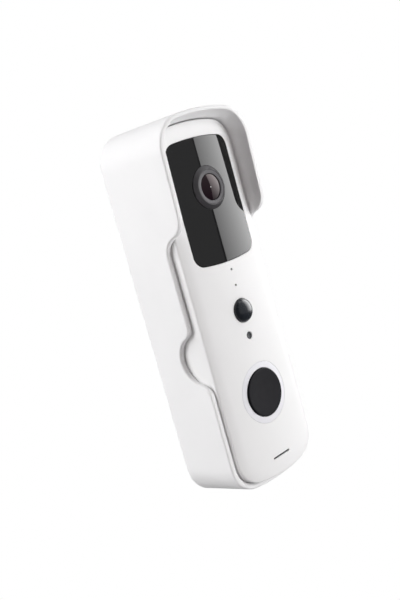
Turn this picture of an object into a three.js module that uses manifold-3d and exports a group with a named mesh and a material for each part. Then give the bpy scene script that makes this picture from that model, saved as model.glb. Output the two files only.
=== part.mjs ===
// A slim battery video doorbell in a weather cover with a hood, hung on its wall bracket.
// Millimetres. +X is the viewer's right, +Z is up, and the face looks along -Y.
// The origin is the centre of the bracket's back, which lies on the wall plane y = 0.
import * as THREE from "three";
import { mergeVertices } from "three/addons/utils/BufferGeometryUtils.js";
import Module from "manifold-3d";

const wasm = await Module();
wasm.setup();

// ---------------------------------------------------------------- driving dimensions

const GAP = 0.3;           // between a piece and the opening it sits in
const WALL = 1.8;          // side wall of both housings
const CUT = 4;             // how far a cutting tool runs past the face it cuts
const ROUND = 32;          // facets round a middle-sized circle
const SMALL_ROUND = 14;    // facets round a small circle

// Doorbell body: an arched outline in X and Z, seen from the front.
const BODY = { halfWidth: 20.7, top: 67, bottom: -67, corner: 10.2, arch: 80 };
const FACE_Y = -28.5;      // the flat front face
const FACE_WALL = 2.6;     // thickness of the front wall
const FACE_INNER_Y = FACE_Y + FACE_WALL;
const FACE_CURVE = { depth: 2.3, inset: 4.8 };   // the soft curve from the face to the sides
const FRONT_RIM_Y = -12.4;  // where the front housing ends
const REAR_RIM_Y = -11.0;   // where the rear housing begins
const BACK_Y = -3.0;        // the rear housing's outer back
const BACK_INNER_Y = BACK_Y - WALL;

// Weather cover: a sleeve round the body, with a hood at the top.
const COVER = { halfWidth: 23.05, top: 70.35, bottom: -70.65, corner: 12.4, arch: 85 };
const COVER_BORE = { halfWidth: 21.05, top: 67.5, bottom: -67.4, corner: 10.5, arch: 82 };
const COVER_BACK_Y = -0.2;
const HOOD_TOP_Y = -34.2;    // the hood's rim at its top
const HOOD_Y = -33.0;        // the hood's rim at its lower end
const HOOD_END_Z = 35.9;     // where the rim starts to curve back
const STEP_RADIUS = 7.2;     // both arcs of the step behind the hood
const STEP_TURN = THREE.MathUtils.degToRad(75);
const NOTCH_RADIUS = 9.3;    // the round finger notch in each side
const NOTCH_Z = -15.6;
const NOTCH_FILLET = 5.0;    // rounding where the rim turns into the notch and out of it
const LOWER_RIM_Y = -24.6;   // the rim below the notch
const COVER_BACK_ROUND = 5;  // the corner between the cover's back edge and its bottom

// Camera window and lens
const WINDOW = { halfWidth: 15.7, top: 60.9, bottom: 15.0, corner: 4.5, arch: 94 };
const WINDOW_OPENING = { halfWidth: 14.2, top: 59.3, bottom: 16.6, corner: 3.2, arch: 94 };
const WINDOW_THICKNESS = 1.3;
const WINDOW_POCKET = 1.6;
const LENS_Z = 42.4;
const BEZEL_RADIUS = 7.9;    // foot of the raised ring round the lens
const BEZEL_BORE = 6.5;
const BEZEL_PROUD = 1.15;    // how far the ring stands off the face
const LENS_SEAT = 4.95;      // the hole the front element sits in
const LENS_RISE = 0.4;       // how far the front element bulges

// Face features on the centre line
const MICROPHONE_Z = 11.86;
const STATUS_Z = 5.85;
const PINHOLE_RADIUS = 0.4;
const PIR_Z = -3.8;
const PIR_RADIUS = 4.45;
const PIR_HEIGHT = 2.9;
const LIGHT_SENSOR_Z = -13.4;
const LIGHT_SENSOR_RADIUS = 1.3;
const BUTTON_Z = -35.55;
const BUTTON_RADIUS = 9.0;
const BUTTON_PROUD = 0.35;
const BUTTON_TRAVEL = 0.8;
const RING_RADIUS = 11.5;
const SPEAKER_SLOT = { halfLength: 4.6, halfHeight: 0.35, z: -60.3 };
const SPEAKER_Z = -57;
const SPEAKER_RADIUS = 7;

// Boards and battery
const BOARD_FRONT_Y = -20.6;
const BOARD_THICKNESS = 1.6;
const BOARD = { halfWidth: 17.6, top: 13.6, bottom: -49 };
const BATTERY = { halfWidth: 16.5, top: 10, bottom: -50, frontY: -18.4, backY: -9.4 };
const CHARGE_BOARD = { halfWidth: 12, top: 64, bottom: 53.6, frontY: -9.9, backY: -8.7 };
const USB = { x: -4.5, z: 58.6, halfLength: 4.5, halfHeight: 1.65 };
const USB_COVER = { halfLength: 7, halfHeight: 3.6, thickness: 1.2 };
const RESET = { x: 6.5, z: 58.6, radius: 1.6, travel: 0.5 };

// Case screws, one near each corner
const BOSS = { x: 15.6, z: 57, radius: 2.6, bore: 1.5 };
const SCREW_SHANK = 1.2;
const SCREW_HEAD = 2.5;
const SCREW_SINK = 2.6;      // depth of the seat under a screw's head
const REAR_BOSS = 3.4;       // radius of the rear housing's bosses

// Wall bracket
const PLATE = { halfWidth: 15, top: 36, bottom: -60.4, corner: 5, arch: 400, thickness: 2.6 };
const WALL_HOLES_Z = [24, -42];
const WALL_HOLE = 2.1;
const WALL_HOLE_SINK = 4.2;
const HOOK = { x: 9, halfWidth: 3, neck: 3, tip: 6.5, thickness: 2, rows: [10, -27] };
const LIFT = 6;              // how far the unit is lifted off its hooks
const LIP = { halfWidth: 6, top: -62.6, bottom: -65.4, frontY: -10 };
const LIP_POCKET = { halfWidth: 7, top: -62.2, frontY: -10.4 };
const LOCK = { y: -6, shank: 1.5, head: 2.7, tip: -58.6, headTop: -65.7, headBottom: -68.2 };

// ---------------------------------------------------------------- geometry helpers

// A closed polygon of points with no point repeated.
function polygon(points) {
  const kept = points.filter((point, index) => {
    const next = points[(index + 1) % points.length];
    return point.distanceTo(next) > 1e-4;
  });
  return new THREE.Shape(kept);
}

function arcPoints(centreX, centreY, radius, from, to, steps) {
  const points = [];
  for (let step = 0; step <= steps; step += 1) {
    const angle = from + ((to - from) * step) / steps;
    const x = centreX + radius * Math.cos(angle);
    const y = centreY + radius * Math.sin(angle);
    points.push(new THREE.Vector2(x, y));
  }
  return points;
}

// A rounded rectangle whose top and bottom edges are shallow arches, tangent to its corners.
function archedOutline({ halfWidth, top, bottom, corner, arch }, cornerSteps = 8) {
  const reach = halfWidth - corner;
  const lift = Math.sqrt((arch - corner) ** 2 - reach ** 2);
  const lean = Math.asin(reach / (arch - corner));
  const highZ = top - arch + lift;
  const lowZ = bottom + arch - lift;
  const right = 0;
  const up = Math.PI / 2;
  const left = Math.PI;
  const down = (3 * Math.PI) / 2;
  return polygon([
    ...arcPoints(reach, highZ, corner, right, up - lean, cornerSteps),
    ...arcPoints(0, top - arch, arch, up - lean, up + lean, 6),
    ...arcPoints(-reach, highZ, corner, up + lean, left, cornerSteps),
    ...arcPoints(-reach, lowZ, corner, left, down - lean, cornerSteps),
    ...arcPoints(0, bottom + arch, arch, down - lean, down + lean, 6),
    ...arcPoints(reach, lowZ, corner, down + lean, 2 * Math.PI, cornerSteps),
  ]);
}

function inset(outline, amount) {
  return {
    halfWidth: outline.halfWidth - amount,
    top: outline.top - amount,
    bottom: outline.bottom + amount,
    corner: outline.corner - amount,
    arch: outline.arch - amount,
  };
}

// A long hole's outline: two half circles joined by straight sides.
function stadium(halfLength, halfHeight, centreX = 0, centreZ = 0) {
  const reach = halfLength - halfHeight;
  const up = Math.PI / 2;
  return polygon([
    ...arcPoints(centreX + reach, centreZ, halfHeight, -up, up, 8),
    ...arcPoints(centreX - reach, centreZ, halfHeight, up, 3 * up, 8),
  ]);
}

// Extrudes an outline drawn in X and Z from backY to frontY.
function slab(shape, backY, frontY) {
  const geometry = new THREE.ExtrudeGeometry(shape, { depth: backY - frontY, bevelEnabled: false });
  geometry.rotateX(Math.PI / 2);
  geometry.translate(0, backY, 0);
  return geometry;
}

// Extrudes an outline drawn in Y and Z across the whole width.
function crossSlab(shape, halfWidth) {
  const geometry = new THREE.ExtrudeGeometry(shape, { depth: 2 * halfWidth, bevelEnabled: false });
  const basis = new THREE.Matrix4().makeBasis(
    new THREE.Vector3(0, 1, 0),
    new THREE.Vector3(0, 0, 1),
    new THREE.Vector3(1, 0, 0),
  );
  geometry.applyMatrix4(basis);
  geometry.translate(-halfWidth, 0, 0);
  return geometry;
}

function box(xRange, yRange, zRange) {
  const size = [xRange, yRange, zRange].map(([low, high]) => high - low);
  const middle = [xRange, yRange, zRange].map(([low, high]) => (high + low) / 2);
  const geometry = new THREE.BoxGeometry(...size);
  geometry.translate(...middle);
  return geometry;
}

// A cylinder along Y, from backY to frontY.
function rod(radius, backY, frontY, x, z, segments = ROUND) {
  const geometry = new THREE.CylinderGeometry(radius, radius, backY - frontY, segments);
  geometry.translate(x, (backY + frontY) / 2, z);
  return geometry;
}

// Turns a closed profile of [radius, y] pairs round a line along Y through (x, z). The
// profile may run either way round: the turned faces point outwards when it runs
// anticlockwise, so a clockwise one is reversed.
function turned(profile, x, z, segments = ROUND) {
  const points = profile.map(([radius, y]) => new THREE.Vector2(radius, y));
  if (THREE.ShapeUtils.area(points) < 0) {
    points.reverse();
  }
  const geometry = new THREE.LatheGeometry(points, segments);
  geometry.translate(x, 0, z);
  return geometry;
}

// A ring of rectangular section along Y.
function ring(outer, inner, backY, frontY, x, z, segments = ROUND) {
  return solid(rod(outer, backY, frontY, x, z, segments))
    .subtract(solid(rod(inner, backY + CUT, frontY - CUT, x, z, segments)));
}

// A solid that can be joined and cut, from a closed geometry.
function solid(geometry) {
  const bare = geometry.clone();
  bare.deleteAttribute("normal");
  bare.deleteAttribute("uv");
  const welded = mergeVertices(bare, 1e-4);
  return new wasm.Manifold(new wasm.Mesh({
    numProp: 3,
    vertProperties: new Float32Array(welded.attributes.position.array),
    triVerts: new Uint32Array(welded.index.array),
  }));
}

function geometryOf(body) {
  const mesh = body.getMesh();
  const geometry = new THREE.BufferGeometry();
  geometry.setAttribute("position", new THREE.BufferAttribute(mesh.vertProperties, 3));
  geometry.setIndex(new THREE.BufferAttribute(mesh.triVerts, 1));
  geometry.computeVertexNormals();
  return geometry;
}

function union(first, ...others) {
  return others.reduce((sum, other) => sum.add(other), first);
}

function cutAll(body, tools) {
  return tools.reduce((left, tool) => left.subtract(tool), body);
}

// ---------------------------------------------------------------- materials

const MATERIALS = {
  whiteShell: { color: "#f0f0ee", roughness: 0.5, metalness: 0 },
  coverPlastic: { color: "#f3f2f0", roughness: 0.6, metalness: 0 },
  windowBlack: { color: "#0a0a0c", roughness: 0.05, metalness: 0 },
  bezelGrey: { color: "#2c2b2f", roughness: 0.4, metalness: 0 },
  coneGrey: { color: "#4a494d", roughness: 0.35, metalness: 0.2 },
  lensGlass: { color: "#12141c", roughness: 0.02, metalness: 0 },
  barrelBlack: { color: "#151515", roughness: 0.5, metalness: 0.3 },
  buttonBlack: { color: "#1d1e22", roughness: 0.55, metalness: 0 },
  lightGuide: { color: "#ececec", roughness: 0.4, metalness: 0 },
  domeBlack: { color: "#101014", roughness: 0.15, metalness: 0 },
  sensorCan: { color: "#b8bcc0", roughness: 0.3, metalness: 1 },
  greenBoard: { color: "#1e5a34", roughness: 0.5, metalness: 0 },
  chipBlack: { color: "#1a1a1a", roughness: 0.6, metalness: 0 },
  softRubber: { color: "#3a3a3c", roughness: 0.8, metalness: 0 },
  whiteRubber: { color: "#e4e4e2", roughness: 0.8, metalness: 0 },
  batteryWrap: { color: "#3b6fb0", roughness: 0.4, metalness: 0 },
  screwSteel: { color: "#8b8d90", roughness: 0.35, metalness: 1 },
  clearPlastic: { color: "#e8eef2", roughness: 0.2, metalness: 0 },
};

function piece(name, shape, materialName) {
  const geometry = shape.isBufferGeometry ? shape : geometryOf(shape);
  const mesh = new THREE.Mesh(geometry, new THREE.MeshStandardMaterial(MATERIALS[materialName]));
  mesh.name = name;
  return mesh;
}

// ---------------------------------------------------------------- weather cover

// Everything in front of the cover's rim, seen from the side: y across, z up. The rim runs
// down the hood, steps back, dips into the finger notch and comes forward to the lower rim.
function rimCutter() {
  const midRimY = HOOD_Y + 2 * STEP_RADIUS * (1 - Math.cos(STEP_TURN));
  const stepDrop = 2 * STEP_RADIUS * Math.sin(STEP_TURN);
  const midStartZ = HOOD_END_Z - stepDrop;
  const notchY = (midRimY + LOWER_RIM_Y) / 2;
  const filletReach = NOTCH_RADIUS + NOTCH_FILLET;
  const upperFilletY = midRimY + NOTCH_FILLET;
  const lowerFilletY = LOWER_RIM_Y + NOTCH_FILLET;
  const upperTilt = Math.asin((upperFilletY - notchY) / filletReach);
  const lowerTilt = Math.asin((lowerFilletY - notchY) / filletReach);
  const upperFilletZ = NOTCH_Z + filletReach * Math.cos(upperTilt);
  const lowerFilletZ = NOTCH_Z - filletReach * Math.cos(lowerTilt);
  const up = Math.PI / 2;
  const front = HOOD_TOP_Y - 2 * CUT;
  const shape = polygon([
    new THREE.Vector2(front, COVER.top + CUT),
    new THREE.Vector2(front, COVER.bottom - CUT),
    new THREE.Vector2(LOWER_RIM_Y, COVER.bottom - CUT),
    ...arcPoints(lowerFilletY, lowerFilletZ, NOTCH_FILLET, Math.PI, up + lowerTilt, 6),
    ...arcPoints(notchY, NOTCH_Z, NOTCH_RADIUS, lowerTilt - up, up - upperTilt, 14),
    ...arcPoints(upperFilletY, upperFilletZ, NOTCH_FILLET, -up - upperTilt, -Math.PI, 6),
    ...arcPoints(midRimY - STEP_RADIUS, midStartZ, STEP_RADIUS, 0, STEP_TURN, 6),
    ...arcPoints(HOOD_Y + STEP_RADIUS, HOOD_END_Z, STEP_RADIUS, Math.PI + STEP_TURN, Math.PI, 6),
    new THREE.Vector2(HOOD_TOP_Y, COVER.top + CUT),
  ]);
  return solid(crossSlab(shape, COVER.halfWidth + CUT));
}

// The corner that is rounded off between the cover's back edge and its bottom.
function backCornerCutter() {
  const centreY = COVER_BACK_Y - COVER_BACK_ROUND;
  const centreZ = COVER.bottom + COVER_BACK_ROUND;
  const shape = polygon([
    ...arcPoints(centreY, centreZ, COVER_BACK_ROUND, 0, -Math.PI / 2, 6),
    new THREE.Vector2(centreY, COVER.bottom - CUT),
    new THREE.Vector2(COVER_BACK_Y + CUT, COVER.bottom - CUT),
    new THREE.Vector2(COVER_BACK_Y + CUT, centreZ),
  ]);
  return solid(crossSlab(shape, COVER.halfWidth + CUT));
}

function rainCover() {
  const block = solid(slab(archedOutline(COVER, 10), COVER_BACK_Y, HOOD_TOP_Y - 1));
  const bore = solid(slab(archedOutline(COVER_BORE, 10), CUT, HOOD_TOP_Y - CUT));
  const lipClearance = 1.6;
  const lipWidth = LIP.halfWidth + lipClearance;
  const lipNotch = solid(box(
    [-lipWidth, lipWidth],
    [LIP.frontY - 1, CUT],
    [COVER.bottom - CUT, COVER_BORE.bottom + 2],
  ));
  const shape = cutAll(block, [bore, rimCutter(), backCornerCutter(), lipNotch]);
  return piece("rain_cover", shape, "coverPlastic");
}

// ---------------------------------------------------------------- housings

function cornerPlaces() {
  return [[-BOSS.x, BOSS.z], [BOSS.x, BOSS.z], [-BOSS.x, -BOSS.z], [BOSS.x, -BOSS.z]];
}

// The front housing's block: flat face, softly curved edges, straight sides.
function frontBlock() {
  const { depth, inset: curveInset } = FACE_CURVE;
  const geometry = new THREE.ExtrudeGeometry(archedOutline(BODY), {
    depth: -FACE_Y,
    bevelThickness: depth,
    bevelSize: curveInset,
    bevelOffset: -curveInset,
    bevelSegments: 4,
  });
  geometry.rotateX(Math.PI / 2);
  geometry.translate(0, depth, 0);
  const reach = BODY.halfWidth + CUT;
  const height = BODY.top + CUT;
  const rearHalf = solid(box([-reach, reach], [FRONT_RIM_Y, depth + CUT], [-height, height]));
  return solid(geometry).subtract(rearHalf);
}

function frontHousing() {
  const cavity = solid(slab(archedOutline(inset(BODY, WALL)), FRONT_RIM_Y + CUT, FACE_INNER_Y));
  const pocketOutline = archedOutline(inset(WINDOW, -GAP), 5);
  const throughY = FACE_INNER_Y + CUT;
  const frontY = FACE_Y - CUT;
  const openings = [
    cavity,
    solid(slab(pocketOutline, FACE_Y + WINDOW_POCKET, frontY)),
    solid(slab(archedOutline(WINDOW_OPENING, 5), throughY, frontY)),
    solid(rod(PINHOLE_RADIUS, throughY, frontY, 0, MICROPHONE_Z, 8)),
    solid(rod(PINHOLE_RADIUS, throughY, frontY, 0, STATUS_Z, 8)),
    solid(rod(PIR_RADIUS + GAP, throughY, frontY, 0, PIR_Z)),
    solid(rod(LIGHT_SENSOR_RADIUS + GAP, throughY, frontY, 0, LIGHT_SENSOR_Z, SMALL_ROUND)),
    solid(rod(RING_RADIUS + GAP, throughY, frontY, 0, BUTTON_Z, 40)),
    solid(slab(
      stadium(SPEAKER_SLOT.halfLength, SPEAKER_SLOT.halfHeight, 0, SPEAKER_SLOT.z),
      throughY,
      frontY,
    )),
  ];
  const bosses = cornerPlaces().map(([x, z]) => (
    solid(rod(BOSS.radius, FRONT_RIM_Y, FACE_INNER_Y - 0.5, x, z, SMALL_ROUND))
  ));
  const bores = cornerPlaces().map(([x, z]) => (
    solid(rod(BOSS.bore, FRONT_RIM_Y + CUT, FACE_INNER_Y + 3, x, z, SMALL_ROUND))
  ));
  const shell = union(cutAll(frontBlock(), openings), ...bosses);
  return piece("front_housing", cutAll(shell, bores), "whiteShell");
}

// Slots in the back that the bracket's hooks reach through.
function hookPlaces() {
  return HOOK.rows.flatMap((z) => [[-HOOK.x, z], [HOOK.x, z]]);
}

function rearHousing() {
  const block = solid(slab(archedOutline(BODY), BACK_Y, REAR_RIM_Y));
  const cavity = solid(slab(archedOutline(inset(BODY, WALL)), BACK_INNER_Y, REAR_RIM_Y - CUT));
  const bosses = cornerPlaces().map(([x, z]) => (
    solid(rod(REAR_BOSS, BACK_INNER_Y + 0.5, REAR_RIM_Y, x, z, SMALL_ROUND))
  ));
  const lockBlock = solid(box(
    [-LIP_POCKET.halfWidth - WALL, LIP_POCKET.halfWidth + WALL],
    [REAR_RIM_Y, BACK_Y - 0.5],
    [BODY.bottom + 1.2, LOCK.tip + WALL],
  ));
  const lipPocket = solid(box(
    [-LIP_POCKET.halfWidth, LIP_POCKET.halfWidth],
    [LIP_POCKET.frontY, CUT],
    [BODY.bottom - CUT, LIP_POCKET.top],
  ));
  const slotClearance = 0.4;
  const slotReach = HOOK.halfWidth + slotClearance;
  const slots = hookPlaces().map(([x, z]) => solid(box(
    [x - slotReach, x + slotReach],
    [BACK_INNER_Y - 1, CUT],
    [z - LIFT - slotClearance, z + HOOK.neck + slotClearance],
  )));
  const screwHoles = cornerPlaces().flatMap(([x, z]) => [
    solid(rod(BOSS.bore, CUT, REAR_RIM_Y - CUT, x, z, SMALL_ROUND)),
    solid(rod(SCREW_HEAD + 0.4, CUT, BACK_Y - SCREW_SINK, x, z, SMALL_ROUND)),
  ]);
  const boreRadius = LOCK.shank + GAP;
  const boreLength = 16;
  const lockBore = new THREE.CylinderGeometry(boreRadius, boreRadius, boreLength, SMALL_ROUND);
  lockBore.rotateX(Math.PI / 2);
  lockBore.translate(0, LOCK.y, LOCK.tip + 0.4 - boreLength / 2);
  const seatOutline = stadium(USB_COVER.halfLength, USB_COVER.halfHeight, USB.x, USB.z);
  const usbSeat = slab(seatOutline, CUT, BACK_Y - USB_COVER.thickness - GAP);
  const usbHole = slab(stadium(4.9, 2.1, USB.x, USB.z), CUT, BACK_INNER_Y - 1);
  const resetHole = rod(RESET.radius + 0.25, CUT, BACK_INNER_Y - 1, RESET.x, RESET.z, SMALL_ROUND);
  const shell = union(block.subtract(cavity), ...bosses, lockBlock);
  const shape = cutAll(shell, [
    lipPocket,
    ...slots,
    ...screwHoles,
    solid(lockBore),
    solid(usbSeat),
    solid(usbHole),
    solid(resetHole),
  ]);
  return piece("rear_housing", shape, "whiteShell");
}

// The rubber seal squeezed between the two rims.
function housingGasket() {
  const outer = solid(slab(archedOutline(inset(BODY, 0.3)), REAR_RIM_Y - GAP, FRONT_RIM_Y + GAP));
  const hole = solid(slab(archedOutline(inset(BODY, WALL - 0.2)), CUT, FRONT_RIM_Y - CUT));
  return piece("housing_gasket", outer.subtract(hole), "softRubber");
}

function caseScrew(index, x, z) {
  const seatY = BACK_Y - SCREW_SINK + GAP;
  const profile = [
    [0, FACE_INNER_Y + 5],
    [SCREW_SHANK, FACE_INNER_Y + 6.2],
    [SCREW_SHANK, seatY],
    [SCREW_HEAD, seatY],
    [SCREW_HEAD, seatY + 1.2],
    [SCREW_HEAD * 0.7, seatY + 1.7],
    [0, seatY + 1.7],
  ];
  return piece(`case_screw_${index + 1}`, turned(profile, x, z, SMALL_ROUND), "screwSteel");
}

// ---------------------------------------------------------------- camera

function cameraWindow() {
  const panel = solid(slab(archedOutline(WINDOW, 5), FACE_Y + WINDOW_THICKNESS, FACE_Y - 0.05));
  const lensHole = solid(rod(BEZEL_RADIUS + GAP, CUT - 20, FACE_Y - CUT, 0, LENS_Z, 40));
  return piece("camera_window", panel.subtract(lensHole), "windowBlack");
}

// The raised dark ring round the lens, with a flange behind the window.
function lensBezel() {
  const backY = FACE_Y + WINDOW_THICKNESS + 2.4;
  const flangeY = FACE_Y + WINDOW_THICKNESS + GAP;
  const frontY = FACE_Y - BEZEL_PROUD;
  const profile = [
    [BEZEL_BORE, backY],
    [BEZEL_RADIUS + 1.2, backY],
    [BEZEL_RADIUS + 1.2, flangeY],
    [BEZEL_RADIUS, flangeY],
    [BEZEL_RADIUS, FACE_Y - 0.15],
    [BEZEL_BORE + 0.35, frontY + 0.1],
    [BEZEL_BORE + 0.15, frontY],
    [BEZEL_BORE, frontY],
    [BEZEL_BORE, backY],
  ];
  return piece("lens_bezel", turned(profile, 0, LENS_Z), "bezelGrey");
}

// The grey ring between the bezel and the front element.
function lensCone() {
  const outer = BEZEL_BORE - GAP;
  const backY = FACE_Y + 3.4;
  const frontY = FACE_Y - BEZEL_PROUD;
  const profile = [
    [LENS_SEAT, backY],
    [outer, backY],
    [outer, frontY],
    [LENS_SEAT + 0.15, frontY + 0.15],
    [LENS_SEAT, frontY + 0.3],
    [LENS_SEAT, backY],
  ];
  return piece("lens_cone", turned(profile, 0, LENS_Z), "coneGrey");
}

// The front element, a thick lens whose front bulges a little.
function lensGlass() {
  const radius = LENS_SEAT - GAP;
  const rimY = FACE_Y - 0.7;
  const backY = FACE_Y + 2.8;
  const sphere = (radius ** 2 + LENS_RISE ** 2) / (2 * LENS_RISE);
  const edge = Math.asin(radius / sphere);
  const steps = 5;
  const profile = [[0, backY], [radius, backY]];
  for (let step = 0; step < steps; step += 1) {
    const angle = edge * (1 - step / steps);
    profile.push([sphere * Math.sin(angle), rimY - sphere * (Math.cos(angle) - Math.cos(edge))]);
  }
  profile.push([0, rimY - LENS_RISE]);
  return piece("lens_glass", turned(profile, 0, LENS_Z), "lensGlass");
}

function lensBarrel() {
  const profile = [
    [0, -13.2],
    [4.4, -13.2],
    [4.4, -20],
    [6.2, -20.2],
    [6.2, FACE_Y + 4.2],
    [5.6, FACE_Y + 3.7],
    [0, FACE_Y + 3.7],
  ];
  return piece("lens_barrel", turned(profile, 0, LENS_Z), "barrelBlack");
}

function cameraHolder() {
  const base = solid(box([-7.6, 7.6], [-16.4, -12.4], [LENS_Z - 7.6, LENS_Z + 7.6]));
  const neck = solid(rod(5.9, -15, -19.6, 0, LENS_Z));
  const bore = solid(rod(4.4 + GAP, CUT, -30, 0, LENS_Z));
  return piece("camera_holder", union(base, neck).subtract(bore), "chipBlack");
}

function sensorBoard() {
  return piece("sensor_board", box([-9, 9], [-12.1, -11.0], [LENS_Z - 9, LENS_Z + 9]), "greenBoard");
}

const IR_PLACES = [[-10.6, 51.6], [10.6, 51.6], [-10.6, 33.2], [10.6, 33.2]];

function infraredBoard() {
  const board = solid(box([-13.6, 13.6], [-24.2, -23.0], [30.6, 54.1]));
  const hole = solid(rod(10, CUT, -40, 0, LENS_Z));
  return piece("infrared_board", board.subtract(hole), "greenBoard");
}

function infraredLed(index, x, z) {
  const profile = [
    [0, -24.5],
    [1.9, -24.5],
    [1.9, -25.3],
    [1.5, -25.3],
    [1.5, -25.9],
    [1.0, -26.5],
    [0, -26.7],
  ];
  return piece(`infrared_led_${index + 1}`, turned(profile, x, z, SMALL_ROUND), "clearPlastic");
}

// ---------------------------------------------------------------- sensors on the face

// A thin moulded lens: a shallow dome with a retaining flange behind the front wall.
function pirDome() {
  const skin = 0.7;
  const flangeFront = FACE_INNER_Y + GAP;
  const flangeBack = flangeFront + 0.8;
  const steps = 6;
  const profile = [];
  for (let step = 0; step <= steps; step += 1) {
    const angle = (Math.PI / 2) * (1 - step / steps);
    profile.push([PIR_RADIUS * Math.cos(angle), FACE_Y - PIR_HEIGHT * Math.sin(angle)]);
  }
  profile.push([PIR_RADIUS, flangeFront]);
  profile.push([PIR_RADIUS + 1.3, flangeFront]);
  profile.push([PIR_RADIUS + 1.3, flangeBack]);
  profile.push([PIR_RADIUS - skin, flangeBack]);
  for (let step = 0; step <= steps; step += 1) {
    const angle = (Math.PI / 2) * (step / steps);
    const radius = (PIR_RADIUS - skin) * Math.cos(angle);
    profile.push([radius, FACE_Y - (PIR_HEIGHT - skin) * Math.sin(angle)]);
  }
  return piece("pir_dome", turned(profile, 0, PIR_Z, 28), "domeBlack");
}

function pirSensor() {
  const profile = [
    [0, BOARD_FRONT_Y - GAP],
    [4.4, BOARD_FRONT_Y - GAP],
    [4.4, BOARD_FRONT_Y - 0.9],
    [3.55, BOARD_FRONT_Y - 0.9],
    [3.55, BOARD_FRONT_Y - 3.8],
    [3.1, BOARD_FRONT_Y - 4.2],
    [0, BOARD_FRONT_Y - 4.2],
  ];
  return piece("pir_sensor", turned(profile, 0, PIR_Z, 20), "sensorCan");
}

function lightSensorWindow() {
  const flangeFront = FACE_INNER_Y + GAP;
  const profile = [
    [0, flangeFront + 0.7],
    [2.2, flangeFront + 0.7],
    [2.2, flangeFront],
    [LIGHT_SENSOR_RADIUS, flangeFront],
    [LIGHT_SENSOR_RADIUS, FACE_Y + 0.15],
    [LIGHT_SENSOR_RADIUS - 0.2, FACE_Y],
    [0, FACE_Y],
  ];
  return piece("light_sensor_window", turned(profile, 0, LIGHT_SENSOR_Z, SMALL_ROUND), "domeBlack");
}

function onBoard(halfWidth, height, halfHeight, x, z) {
  const footY = BOARD_FRONT_Y - GAP;
  return box([x - halfWidth, x + halfWidth], [footY - height, footY], [z - halfHeight, z + halfHeight]);
}

function lightSensor() {
  return piece("light_sensor", onBoard(1.4, 1.2, 1.4, 0, LIGHT_SENSOR_Z), "clearPlastic");
}

function microphone() {
  return piece("microphone", onBoard(1.5, 1.1, 1.0, 0, MICROPHONE_Z), "sensorCan");
}

function microphoneGasket() {
  const shape = ring(1.7, 0.7, BOARD_FRONT_Y - 1.8, FACE_INNER_Y + GAP, 0, MICROPHONE_Z, SMALL_ROUND);
  return piece("microphone_gasket", shape, "softRubber");
}

function statusLed() {
  return piece("status_led", onBoard(0.8, 0.7, 0.5, 0, STATUS_Z), "clearPlastic");
}

function statusLightPipe() {
  const shape = rod(1.1, BOARD_FRONT_Y - 1.4, FACE_INNER_Y + GAP, 0, STATUS_Z, SMALL_ROUND);
  return piece("status_light_pipe", shape, "clearPlastic");
}

// ---------------------------------------------------------------- call button

// The translucent light guide round the button. Its inner ledge keeps the cap in.
function buttonRing() {
  const ledgeY = FACE_Y + 1.6;
  const flangeFront = FACE_INNER_Y + GAP;
  const backY = flangeFront + 0.8;
  const profile = [
    [BUTTON_RADIUS + 1.3, backY],
    [RING_RADIUS + 1.3, backY],
    [RING_RADIUS + 1.3, flangeFront],
    [RING_RADIUS, flangeFront],
    [RING_RADIUS, FACE_Y],
    [BUTTON_RADIUS + 0.25, FACE_Y],
    [BUTTON_RADIUS + 0.25, ledgeY],
    [BUTTON_RADIUS + 1.3, ledgeY],
    [BUTTON_RADIUS + 1.3, backY],
  ];
  return piece("button_ring", turned(profile, 0, BUTTON_Z, 40), "lightGuide");
}

function buttonCap() {
  const flangeFront = FACE_Y + 1.6 + GAP;
  const flangeBack = flangeFront + 0.8;
  const profile = [
    [0, -25.3],
    [1.6, -25.3],
    [1.6, flangeBack],
    [BUTTON_RADIUS + 0.9, flangeBack],
    [BUTTON_RADIUS + 0.9, flangeFront],
    [BUTTON_RADIUS, flangeFront],
    [BUTTON_RADIUS, FACE_Y - BUTTON_PROUD + 0.4],
    [BUTTON_RADIUS - 0.4, FACE_Y - BUTTON_PROUD],
    [0, FACE_Y - BUTTON_PROUD],
  ];
  return piece("button_cap", turned(profile, 0, BUTTON_Z, 40), "buttonBlack");
}

// The silicone ring that pushes the cap back out.
function buttonReturnPad() {
  const backY = BOARD_FRONT_Y - GAP;
  const frontY = FACE_Y + 2.7 + BUTTON_TRAVEL + GAP;
  return piece("button_return_pad", ring(8.3, 5.4, backY, frontY, 0, BUTTON_Z), "whiteRubber");
}

function switchBody() {
  const backY = BOARD_FRONT_Y - GAP;
  const block = solid(box([-3, 3], [backY - 3.1, backY], [BUTTON_Z - 3, BUTTON_Z + 3]));
  const bore = solid(rod(2.0, backY - 0.7, -40, 0, BUTTON_Z, 20));
  return piece("switch_body", block.subtract(bore), "chipBlack");
}

function switchPlunger() {
  return piece("switch_plunger", rod(1.75, -22.5, -25.0, 0, BUTTON_Z, 20), "chipBlack");
}

// ---------------------------------------------------------------- speaker

function speakerFrame() {
  const can = solid(rod(SPEAKER_RADIUS, -21.4, -25.0, 0, SPEAKER_Z, 28));
  const mouth = solid(rod(SPEAKER_RADIUS - 0.9, -23.0, -40, 0, SPEAKER_Z, 28));
  return piece("speaker_frame", can.subtract(mouth), "chipBlack");
}

function speakerCone() {
  const profile = [
    [0, -23.3],
    [5.8, -23.3],
    [5.8, -24.0],
    [4.6, -24.5],
    [3.4, -24.0],
    [1.8, -24.6],
    [0, -24.9],
  ];
  return piece("speaker_cone", turned(profile, 0, SPEAKER_Z, 28), "barrelBlack");
}

function speakerGasket() {
  const shape = ring(SPEAKER_RADIUS, 5.9, -25.15, FACE_INNER_Y + 0.2, 0, SPEAKER_Z, 28);
  return piece("speaker_gasket", shape, "softRubber");
}

// ---------------------------------------------------------------- boards and battery

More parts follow.
